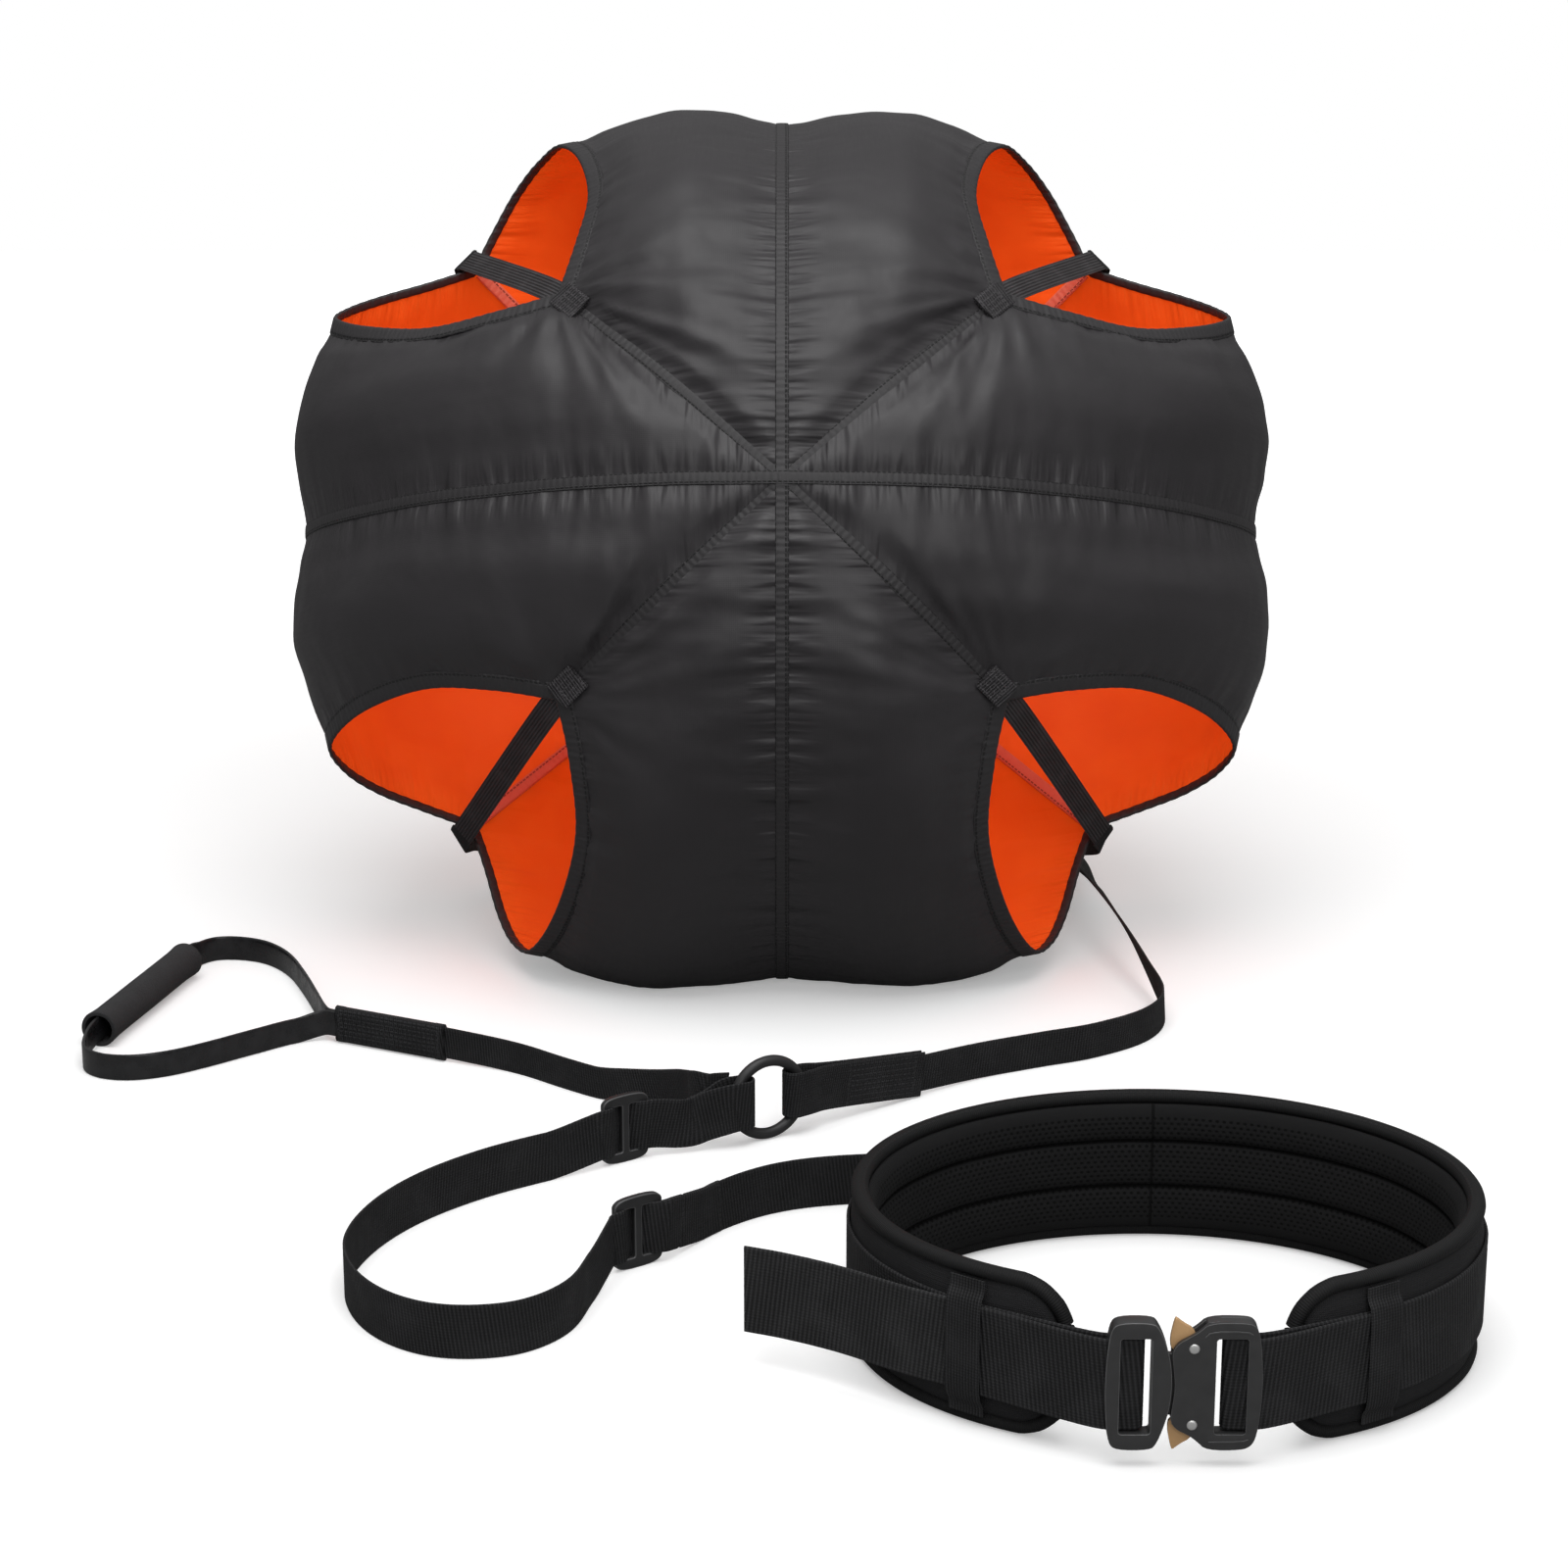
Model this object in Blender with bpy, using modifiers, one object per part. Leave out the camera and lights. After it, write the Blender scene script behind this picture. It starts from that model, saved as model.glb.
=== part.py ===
"""Speed parachute: a cross-shaped canopy, its leash, a pull handle and a padded waist belt.

Everything lies on a floor at height zero, as it would be laid out for packing away.
Sizes are in metres, +Z is up and the canopy opens toward +Y.
"""

import bpy
import bmesh
import numpy as np
from math import atan2, cos, hypot, pi, radians, sin, sqrt
from mathutils import Vector

mm = 0.001

# Shared fits

seam_gap = 0.35 * mm        # air between two pieces that touch
up = Vector((0, 0, 1))
layout_middle = Vector((-45.6 * mm, -206.75 * mm, 0))   # middle of the whole layout, the new origin

# Canopy sizes

canopy_reach = 323 * mm     # from the apex to the fullest ring of an arm
canopy_depth = 374 * mm     # from the apex back to the mouth rim
canopy_wide_share = 1.043   # the inflated cross is a little wider than high
canopy_high_share = 0.955
canopy_lean = radians(22)   # it leans back as it rests on its lowest arm
apex_place = Vector((-1.3 * mm, -90 * mm, 379.5 * mm))
cloth_thickness = 0.8 * mm
seam_puff = 8 * mm          # how far the cloth swells between two seams
seam_tape_width = 9 * mm
seam_tape_thickness = 0.7 * mm
vent_binding_width = 9 * mm
cloth_split = 0.25 * mm     # half the air between two panels at a seam

# Stations run along an arm: 0 apex, 2 front pinch, 4 tip, 6 back pinch, 7 mouth rim.
# Each row of shares holds reach, (half width,) and depth at one station.
middle_shares = [(0, 0), (0.228, 0.015), (0.468, 0.082), (0.774, 0.253), (1.0, 0.542),
                 (0.925, 0.807), (0.696, 0.952), (0.460, 1.0)]
front_seam_shares = [(0, 0, 0), (0.223, 0.223, 0.043), (0.446, 0.446, 0.176)]
lip_shares = [(0.446, 0.446, 0.176), (0.579, 0.418, 0.222), (0.724, 0.404, 0.301),
              (0.866, 0.440, 0.414), (0.947, 0.496, 0.542), (0.930, 0.546, 0.631),
              (0.864, 0.591, 0.687), (0.769, 0.630, 0.713), (0.669, 0.669, 0.723)]
back_seam_shares = [(0.669, 0.669, 0.723), (0.326, 0.326, 0.928)]
width_shares = [0, 0.223, 0.454, 0.490, 0.507, 0.546, 0.599, 0.326]
puff_shares = [0, 0.25, 0.7, 1.0, 1.0, 1.0, 0.6, 0]
front_pinch = 2
back_pinch = 6
mouth_rim = 7
arms = {"right": (1, 0), "top": (0, 1), "left": (-1, 0), "bottom": (0, -1)}
arm_reach_shares = {"right": 1.0, "top": 0.955, "left": 1.0, "bottom": 1.02}
arm_width_shares = {"right": 1.0, "top": 0.96, "left": 1.0, "bottom": 1.05}
corners = {"upper_right": ("right", 1, "top", 1), "upper_left": ("top", -1, "left", 1),
           "lower_left": ("left", -1, "bottom", -1), "lower_right": ("bottom", 1, "right", -1)}

# Corner straps, bridle and tow strap

corner_strap_width = 18 * mm
corner_strap_thickness = 1.2 * mm
corner_tab_length = 30 * mm
corner_tab_width = 23 * mm
corner_lift = 6.4 * mm      # the strap stands this far off the front pinch
corner_sewn_lift = 4.4 * mm
corner_back_lift = 8.4 * mm
bridle_width = 20 * mm
bridle_thickness = 1.2 * mm
junction_length = 60 * mm
junction_width = 26 * mm
junction_height = 9 * mm
junction_place = Vector((10 * mm, 452 * mm, 0))
junction_heading = radians(90)
tow_width = 25 * mm
tow_thickness = 1.5 * mm
sleeve_width = 30 * mm
sleeve_thickness = 1.5 * mm
sleeve_length = 98 * mm     # from the ring's limb to the open end
tow_insert = 40 * mm        # tow strap held inside the sleeve

# Pull ring

ring_radius = 24 * mm       # to the middle of the wire
ring_wire = 3.5 * mm        # wire radius
ring_place = Vector((-10 * mm, -294 * mm, 0))
ring_heading = radians(30)
leash_heading = radians(202)
sleeve_heading = radians(38)
fold_room = 2.4 * mm        # between the wire and the inside of a fold
fold_open, fold_close = 0.2, 0.8    # shares of the ring's radius over which a fold's layers meet

# Leash

leash_width = 32 * mm
leash_thickness = 1.5 * mm
leash_return = 46 * mm      # doubled part beside the ring
glide_length = 32 * mm
glide_height = 44 * mm
glide_thickness = 4 * mm
glide_bar = 5 * mm
glide_rail = 5 * mm
glide_round = 0.6 * mm
glide_clear = 0.6 * mm      # between webbing and bar
upper_glide_place = Vector((-98 * mm, -331 * mm, 0))
upper_glide_heading = radians(214)
lower_glide_place = Vector((-84 * mm, -487 * mm, 0))
lower_glide_heading = radians(35)
anchor_patch_length = 62 * mm
anchor_patch_height = 44 * mm
anchor_patch_thickness = 2.0 * mm
anchor_turn = radians(162)  # the leash ends here, measured round the belt from its front

# Handle

handle_strap_width = 22 * mm
handle_strap_thickness = 1.5 * mm
handle_sleeve_length = 84 * mm
handle_sleeve_height = 26 * mm
handle_sleeve_thickness = 7.4 * mm
handle_sleeve_place = Vector((-262.5 * mm, -141 * mm, 0))
handle_sleeve_heading = radians(-26)
handle_hold = 9.6 * mm      # strap sewn to the back of the leash's fold
handle_hold_start = 6 * mm  # from the ring's limb
handle_hold_height = 33 * mm
handle_loop_width = 18 * mm
handle_loop_thickness = 2.6 * mm
grip_radius = 12.5 * mm
grip_bore = 9.8 * mm        # bore radius
grip_length = 146 * mm
grip_place = Vector((-441.5 * mm, -62.5 * mm, 0))
grip_heading = radians(76)

# Belt

belt_place = Vector((207 * mm, -577 * mm, 0))
belt_half_width = 171 * mm
belt_half_depth = 141.5 * mm
belt_height = 90 * mm
belt_binding = 4 * mm       # radius of the rolled edge
belt_corner = 24 * mm       # rounding of the pad's two ends
pad_thickness = 9 * mm
lining_thickness = 5 * mm
pad_left_end = radians(-23.5)
pad_right_end = radians(19)
belt_webbing_width = 50 * mm
belt_webbing_thickness = 1.8 * mm
keeper_width = 21 * mm
keeper_height = 76 * mm
keeper_thickness = 1.2 * mm
keeper_left_turn = radians(-41)     # where each keeper sits, round from the front
keeper_right_turn = radians(35)

# Buckle

buckle_aside = 6.5 * mm     # the buckle sits left of the belt's middle
buckle_stand = 10 * mm      # its middle plane is this far in front of the belt's oval
buckle_middle = belt_place + Vector((-buckle_aside, -belt_half_depth - buckle_stand, belt_height / 2))
buckle_height = 70 * mm
buckle_thickness = 10 * mm
male_width = 34 * mm
female_width = 44 * mm
buckle_seam = 0.5 * mm      # closed gap between the halves
slot_width = 16 * mm
slot_height = 52.5 * mm
slot_bar = 7 * mm
bar_depth = 2.4 * mm
pin_radius = 2.0 * mm
pin_setback = 2.0 * mm      # the pins sit behind the middle plane
tongue_length = 24 * mm
tongue_height = 34 * mm
tongue_thickness = 3 * mm
tongue_clear = 0.6 * mm
latch_notch = 5 * mm
latch_depth = 3.2 * mm
latch_clear = 0.4 * mm      # between a lever's hook and the edge of the tongue
rivet_radius = 1.5 * mm
rivet_head = 2.7 * mm
rivet_head_height = 0.8 * mm
rivet_inset = 9.5 * mm      # from the female half's left edge
rivet_spread = 21 * mm      # from the buckle's middle height
lever_thickness = 3 * mm
lever_clear = 0.5 * mm
lever_wall = 1.4 * mm       # round the rivet's hole
lever_fin = 1.0 * mm        # the fin stands this far above the housing's edge
corner_cut_width = 14.5 * mm
corner_cut_height = 12.5 * mm

# Scene and materials

for item in list(bpy.data.objects):
    bpy.data.objects.remove(item)
parts = bpy.data.collections.new("speed_parachute")
cutters = bpy.data.collections.new("cutters")
bpy.context.scene.collection.children.link(parts)
bpy.context.scene.collection.children.link(cutters)


def material(name, colour, roughness, metallic=0.0):
    """A Principled surface with one linear colour."""
    made = bpy.data.materials.new(name)
    made.use_nodes = True
    surface = made.node_tree.nodes["Principled BSDF"]
    surface.inputs["Base Color"].default_value = (*colour, 1)
    surface.inputs["Roughness"].default_value = roughness
    surface.inputs["Metallic"].default_value = metallic
    made.diffuse_color = (*colour, 1)
    return made


ripstop = material("black_ripstop", (0.042, 0.040, 0.041), 0.55)
orange = material("orange_lining", (0.87, 0.09, 0.012), 0.5)
tape = material("seam_tape", (0.030, 0.029, 0.030), 0.6)
webbing = material("black_webbing", (0.012, 0.012, 0.013), 0.75)
rubber = material("black_rubber", (0.016, 0.016, 0.017), 0.35)
foam = material("grip_foam", (0.020, 0.020, 0.021), 0.85)
pad_cloth = material("pad_cloth", (0.014, 0.014, 0.015), 0.8)
spacer_mesh = material("spacer_mesh", (0.022, 0.022, 0.023), 0.9)
plastic = material("black_plastic", (0.028, 0.028, 0.029), 0.4)
black_steel = material("black_steel", (0.020, 0.020, 0.021), 0.3, 1.0)
bronze = material("bronze", (0.55, 0.32, 0.13), 0.3, 1.0)
steel = material("bright_steel", (0.62, 0.62, 0.60), 0.25, 1.0)


# Building tools

def place_object(name, mesh, surface, smooth=radians(30)):
    """Link a mesh as one named sub-part."""
    made = bpy.data.objects.new(name, mesh)
    parts.objects.link(made)
    mesh.materials.append(surface)
    mesh.shade_smooth()
    mesh.set_sharp_from_angle(angle=smooth)
    return made


def grid_mesh(name, rows, closed=False, triangles=True):
    """An open sheet through rows of points; a closed one joins its last row to its first."""
    rows = rows + [rows[0]] if closed else rows
    across = len(rows[0])
    shape = bmesh.new()
    bmesh.ops.create_grid(shape, x_segments=len(rows) - 1, y_segments=across - 1, size=1)
    for vert in shape.verts:
        row = round((vert.co.x + 1) / 2 * (len(rows) - 1))
        column = round((vert.co.y + 1) / 2 * (across - 1))
        vert.co = rows[row][column]
    if closed:
        bmesh.ops.remove_doubles(shape, verts=shape.verts, dist=seam_gap / 100)
    if triangles:
        bmesh.ops.triangulate(shape, faces=shape.faces, quad_method='SHORT_EDGE')
    mesh = bpy.data.meshes.new(name)
    shape.to_mesh(mesh)
    shape.free()
    return mesh


def face_away(mesh, inside):
    """Turn a sheet so that its faces point away from a point inside."""
    outward = sum((face.center - inside).dot(face.normal) * face.area for face in mesh.polygons)
    if outward < 0:
        mesh.flip_normals()


def thicken(item, thickness, offset):
    """Solidify with even walls: offset -1 grows inward, 1 outward and 0 both ways."""
    wall = item.modifiers.new("wall", 'SOLIDIFY')
    wall.thickness = thickness
    wall.offset = offset
    wall.use_even_offset = True


def soften(item, width, segments=2):
    """Round the sharp edges."""
    edge = item.modifiers.new("rounded", 'BEVEL')
    edge.width = width
    edge.segments = segments
    edge.limit_method = 'ANGLE'
    edge.angle_limit = radians(40)


smooth_steps = 24


def through(points, steps=smooth_steps):
    """A smooth curve through hand-chosen points, read at many places."""
    points = [np.array(point, dtype=float) for point in points]
    ends = [2 * points[0] - points[1], *points, 2 * points[-1] - points[-2]]
    dense = []
    for before, start, stop, after in zip(ends, ends[1:], ends[2:], ends[3:]):
        pull = np.linalg.norm(stop[:3] - start[:3])
        slope_in = (stop - before) * pull / max(np.linalg.norm((stop - before)[:3]), mm)
        slope_out = (after - start) * pull / max(np.linalg.norm((after - start)[:3]), mm)
        for step in range(steps):
            t = step / steps
            dense.append(start * (2 * t**3 - 3 * t**2 + 1) + slope_in * (t**3 - 2 * t**2 + t)
                         + stop * (3 * t**2 - 2 * t**3) + slope_out * (t**3 - t**2))
    dense.append(points[-1])
    return dense


def thin_out(dense, always=()):
    """Keep the points of a dense path where it has turned or run far enough."""
    kept = [dense[0]]
    heading = (dense[1] - dense[0])[:3]
    for index, (point, ahead) in enumerate(zip(dense[1:], dense[2:]), 1):
        course = (ahead - point)[:3]
        cosine = heading.dot(course) / (np.linalg.norm(heading) * np.linalg.norm(course))
        gone = np.linalg.norm((point - kept[-1])[:3])
        if cosine < cos(strap_turn) or gone > strap_run or index in always:
            kept.append(point)
            heading = course
    kept.append(dense[-1])
    return kept


def run_through(route, square_start=False, square_end=False):
    """A path through route points; a square end keeps its last stretch straight."""
    dense = through(route)
    always = set()
    if square_start:
        dense = [dense[0]] + dense[smooth_steps:]
        always.add(1)
    if square_end:
        dense = dense[:-smooth_steps] + [dense[-1]]
        always.add(len(dense) - 2)
    return thin_out(dense, always)


strap_turn = radians(12)
strap_run = 45 * mm


def lean_toward(course, wanted):
    """The lean that turns a strap's width toward a wanted direction."""
    side = course.cross(up).normalized()
    rise = side.cross(course).normalized()
    return atan2(wanted.dot(side), wanted.dot(rise))


def strap(name, path, width, thickness, surface, lean=0.0):
    """A webbing strap: each path point is x, y and its middle height, and maybe its own lean.

    A lean of 0 stands the strap on its edge and a right angle lays it flat.
    """
    rows = []
    for index, point in enumerate(path):
        before = path[max(index - 1, 0)]
        after = path[min(index + 1, len(path) - 1)]
        course = Vector((after - before)[:3]).normalized()
        side = course.cross(up).normalized()
        tip = point[3] if len(point) > 3 else lean
        rise = side.cross(course).normalized() if tip else up
        half = (rise * cos(tip) + side * sin(tip)) * (width / 2)
        middle = Vector(point[:3])
        flat = course.cross(half).normalized() * (thickness / 2)
        middle.z = max(middle.z, abs(half.z) + abs(flat.z))
        rows.append([middle - half, middle + half])
    item = place_object(name, grid_mesh(name, rows, triangles=False), surface)
    thicken(item, thickness, 0)
    return item


def plan(heading, along, aside=0.0):
    """A step on the floor: along a heading, and aside to its left."""
    return Vector((cos(heading) * along - sin(heading) * aside,
                   sin(heading) * along + cos(heading) * aside, 0))


def block(name, size, place, surface, heading=0.0, rounding=0.0):
    """A box standing at its middle, turned about the vertical."""
    shape = bmesh.new()
    bmesh.ops.create_cube(shape, size=1)
    bmesh.ops.scale(shape, vec=size, verts=shape.verts)
    mesh = bpy.data.meshes.new(name)
    shape.to_mesh(mesh)
    shape.free()
    item = place_object(name, mesh, surface)
    item.location = place
    item.rotation_euler = (0, 0, heading)
    if rounding:
        soften(item, rounding)
    return item


def cutter(name, size, place, heading=0.0):
    """A box that is cut away from other pieces."""
    item = block(name, size, place, webbing, heading)
    parts.objects.unlink(item)
    cutters.objects.link(item)
    item.hide_render = True
    item.display_type = 'WIRE'
    return item


def cut(item, tool):
    """Cut a tool out of a piece."""
    hole = item.modifiers.new("cut_" + tool.name, 'BOOLEAN')
    hole.operation = 'DIFFERENCE'
    hole.object = tool


def plate(name, outlines, thickness, surface, rounding=0.0):
    """A flat plate from outlines in its own plane, with holes where one lies in another."""
    curve = bpy.data.curves.new(name, 'CURVE')
    curve.dimensions = '2D'
    curve.fill_mode = 'BOTH'
    curve.extrude = thickness / 2
    for outline in outlines:
        spline = curve.splines.new('POLY')
        spline.points.add(len(outline) - 1)
        for spot, (x, y) in zip(spline.points, outline):
            spot.co = (x, y, 0, 1)
        spline.use_cyclic_u = True
    curve.materials.append(surface)
    item = bpy.data.objects.new(name, curve)
    parts.objects.link(item)
    weld = item.modifiers.new("weld", 'WELD')
    weld.merge_threshold = seam_gap / 100
    if rounding:
        soften(item, rounding, 1)
    return item


def rectangle(width, height, x=0.0, y=0.0):
    """Four corners around a middle."""
    return [(x + sx * width / 2, y + sy * height / 2) for sx, sy in ((-1, -1), (1, -1), (1, 1), (-1, 1))]


def rod(name, radius, length, place, surface, direction=up, sides=16, bore=0.0):
    """A round bar or tube about its own middle."""
    shape = bmesh.new()
    bmesh.ops.create_cone(shape, cap_ends=True, segments=sides, radius1=radius, radius2=radius,
                          depth=length)
    mesh = bpy.data.meshes.new(name)
    shape.to_mesh(mesh)
    shape.free()
    item = place_object(name, mesh, surface)
    item.location = place
    item.rotation_mode = 'QUATERNION'
    item.rotation_quaternion = up.rotation_difference(Vector(direction))
    if bore:
        tool = rod(name + "_bore", bore, length + 2 * radius, place, surface, direction, sides)
        parts.objects.unlink(tool)
        cutters.objects.link(tool)
        tool.hide_render = True
        tool.display_type = 'WIRE'
        cut(item, tool)
    return item


def turned(name, profile, place, surface, direction=up, sides=12):
    """A turned piece: a profile of radius and height, from the top down, swept once round."""
    mesh = bpy.data.meshes.new(name)
    mesh.from_pydata([(radius, 0, height) for radius, height in profile],
                     [(index, index + 1) for index in range(len(profile) - 1)], [])
    item = place_object(name, mesh, surface)
    sweep = item.modifiers.new("sweep", 'SCREW')
    sweep.steps = sides
    sweep.render_steps = sides
    sweep.use_merge_vertices = True
    sweep.merge_threshold = seam_gap / 100
    item.location = place
    item.rotation_mode = 'QUATERNION'
    item.rotation_quaternion = up.rotation_difference(Vector(direction))
    return item


def loft(name, sections, surface):
    """A closed body through rings of points, capped at both ends."""
    rows = [[Vector(point) for point in section] for section in sections]
    rows = [row + [row[0]] for row in rows]
    mesh = grid_mesh(name, rows)
    shape = bmesh.new()
    shape.from_mesh(mesh)
    bmesh.ops.remove_doubles(shape, verts=shape.verts, dist=seam_gap / 100)
    bmesh.ops.holes_fill(shape, edges=shape.edges, sides=len(rows[0]))
    bmesh.ops.recalc_face_normals(shape, faces=shape.faces)
    shape.to_mesh(mesh)
    shape.free()
    return place_object(name, mesh, surface)


# Canopy surface

across = Vector((1, 0, 0))
upward = Vector((0, sin(canopy_lean), cos(canopy_lean)))
backward = Vector((0, cos(canopy_lean), -sin(canopy_lean)))
canopy_heart = apex_place + backward * (canopy_depth * 0.5)


def read_shares(shares, station):
    """A smooth reading of a table of shares, with its rows one station apart."""
    table = np.array(shares, dtype=float).reshape(len(shares), -1)
    last = len(table) - 1
    station = min(max(station, 0), last)
    index = min(int(station), last - 1)
    t = station - index
    ends = np.vstack([2 * table[0] - table[1], table, 2 * table[-1] - table[-2]])
    a, b, c, d = ends[index:index + 4]
    return (2 * b + (c - a) * t + (2 * a - 5 * b + 4 * c - d) * t**2
            + (3 * b - a - 3 * c + d) * t**3) / 2


def edge_line(station):
    """Reach, half width and depth shares along an arm's edge: front seam, vent lip, back seam."""
    if station <= front_pinch:
        return read_shares(front_seam_shares, station)
    if station <= back_pinch:
        return read_shares(lip_shares, (station - front_pinch) * 2)
    return read_shares(back_seam_shares, station - back_pinch)


def half_width(station):
    """Half the width of an arm at a station."""
    return read_shares(width_shares, station)[0] * canopy_reach


def canopy_point(arm, station, side):
    """A point of the cloth: side runs from -1 to 1 across the arm."""
    dx, dy = arms[arm]
    reach, depth = read_shares(middle_shares, station)
    edge_reach, edge_width, edge_depth = edge_line(station)
    swell = min(max((station - front_pinch) / 2, 0), 1) * min(max((back_pinch - station) / 2, 0), 1)
    swell = swell * swell * (3 - 2 * swell)
    blend = side * side
    ahead, behind = read_shares(middle_shares, station + 0.1), read_shares(middle_shares, station - 0.1)
    run, sink = (ahead - behind) * (canopy_reach, canopy_depth)
    puff = read_shares(puff_shares, station)[0] * seam_puff * sin(pi * abs(side)) ** 2 / hypot(run, sink)
    rho = (reach + (edge_reach - reach) * blend) * (1 + (arm_reach_shares[arm] - 1) * swell)
    rho = rho * canopy_reach + puff * sink
    wide = read_shares(width_shares, station)[0] * (1 - blend) + edge_width * blend
    wide = side * wide * (1 + (arm_width_shares[arm] - 1) * swell) * canopy_reach
    sunk = (depth + (edge_depth - depth) * blend) * canopy_depth - puff * run
    if dx:
        x, y = rho * dx * canopy_wide_share, wide * canopy_high_share
    else:
        x, y = wide * canopy_wide_share, rho * dy * canopy_high_share
    place = apex_place + across * x + upward * y + backward * sunk
    place.z = max(place.z, seam_tape_thickness + seam_gap)
    return place


def canopy_normal(arm, station, side):
    """The outward direction of the cloth."""
    step = 0.02
    along = canopy_point(arm, station + step, side) - canopy_point(arm, station - step, side)
    cross = canopy_point(arm, station, side + step) - canopy_point(arm, station, side - step)
    normal = along.cross(cross).normalized()
    outward = canopy_point(arm, station, side) - canopy_heart
    return normal if normal.dot(outward) > 0 else -normal


def lifted(spots, height):
    """A point above the cloth where one or more arms meet, along their mean outward direction."""
    normal = sum((canopy_normal(*spot) for spot in spots), Vector()).normalized()
    place = canopy_point(*spots[0]) + normal * height
    place.z = max(place.z, seam_tape_thickness)
    return place


hub_share = 0.41            # tangent of half the angle between two of the eight seams
hub_fit = 0.98              # the eight tapes meet just inside the place where they would touch
hub_station = hub_fit * seam_tape_width / 2 / (hub_share * canopy_reach * width_shares[1])


def middle_share(station):
    """Share of an arm's half width that the middle seam's tape covers."""
    return min(seam_tape_width / 2 / max(half_width(station), mm), hub_share)


def edge_share(station):
    """Share of an arm's half width left inside its edge tape or binding."""
    if station <= hub_station:
        return hub_share
    tape = seam_tape_width / 2 if station <= front_pinch else vent_binding_width
    return max(1 - tape / max(half_width(station), mm), hub_share)


gore_stations = [0.4 * hub_station, hub_station, 0.6, 1, 1.5, 1.9, 2, 2.1, 2.5, 3, 3.5, 4, 4.5, 5, 5.5, 5.9]
tape_lift = 2 * seam_gap
mouth_lift = 2.4 * seam_gap     # the mouth's rim is more strongly curved
mouth_row = mouth_rim - 0.11    # where the mouth's binding ends


def gore_row(arm, station, hand):
    """One row of a half-arm panel, from the middle seam to the edge."""
    split = cloth_split / max(half_width(station), mm)
    inner = min(middle_share(station), 1 / 3)
    outer = max(edge_share(station), 2 / 3)
    sides = [split, inner, inner + (outer - inner) / 3, outer - (outer - inner) / 3, outer, 1 - split]
    return [canopy_point(arm, station, hand * side) for side in sides]


def back_row(arm, station):
    """One row of an orange back panel, edge to edge."""
    split = cloth_split / half_width(station)
    sides = [-1 + split, -0.8, -0.4, 0, 0.4, 0.8, 1 - split]
    return [canopy_point(arm, station, side) for side in sides]


def add_cloth():
    """Eight black panels round the front and sides, and four orange ones round the mouth."""
    for arm in arms:
        row_split = cloth_split / (half_width(back_pinch) / 2)
        for hand, word in ((-1, "low"), (1, "high")):
            rows = [gore_row(arm, station, hand) for station in [*gore_stations, back_pinch - row_split]]
            mesh = grid_mesh(f"canopy_panel_{arm}_{word}", rows)
            face_away(mesh, canopy_heart)
            thicken(place_object(mesh.name, mesh, ripstop), cloth_thickness, -1)
        rows = [back_row(arm, station) for station in (back_pinch + row_split, 6.35, 6.65, mouth_row, mouth_rim)]
        mesh = grid_mesh(f"canopy_back_{arm}", rows)
        face_away(mesh, canopy_heart)
        thicken(place_object(mesh.name, mesh, orange), cloth_thickness, -1)


def add_seam_tapes():
    """Tape over the four middle seams and the four corner seams, one web that meets at the apex."""
    shape = bmesh.new()
    turn = list(arms)
    bmesh.ops.create_circle(shape, cap_ends=True, cap_tris=True, segments=16, radius=1)
    for vert in shape.verts:
        if vert.co.length < hub_share:
            vert.co = lifted([(turn[0], 0.02, 0)], tape_lift)
            continue
        step = round(atan2(vert.co.y, vert.co.x) / (pi / 8)) % 16
        arm, side = turn[((step + 2) // 4) % 4], (step + 2) % 4 - 2
        side = {-2: -1, -1: -hub_share, 0: 0, 1: hub_share}[side]
        vert.co = lifted([hub_spot(arm, side)], tape_lift)
    lines = []
    for arm in turn:
        stations = [station for station in gore_stations if station >= hub_station]
        lines.append([[lifted([hub_spot(arm, side, station)], tape_lift) for side in
                       (-middle_share(station), 0, middle_share(station))] for station in stations])
    for first, first_hand, second, second_hand in corners.values():
        rows = []
        for station in [s for s in gore_stations if hub_station <= s <= 1.9]:
            share = edge_share(station)
            rows.append([lifted([(first, station, first_hand * share)], tape_lift),
                         lifted([(first, station, first_hand), (second, station, second_hand)], tape_lift),
                         lifted([(second, station, second_hand * share)], tape_lift)])
        lines.append(rows)
    for rows in lines:
        shape.from_mesh(grid_mesh("tape_line", rows))
    bmesh.ops.remove_doubles(shape, verts=shape.verts, dist=seam_gap)
    bmesh.ops.recalc_face_normals(shape, faces=shape.faces)
    mesh = bpy.data.meshes.new("canopy_seam_tapes")
    shape.to_mesh(mesh)
    shape.free()
    face_away(mesh, canopy_heart)
    thicken(place_object(mesh.name, mesh, tape), seam_tape_thickness, 1)


def hub_spot(arm, side, station=hub_station):
    """A spot on an arm, where side is measured anticlockwise as seen from the front."""
    dx, dy = arms[arm]
    return (arm, station, side * (1 if dx > 0 or dy < 0 else -1))


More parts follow.
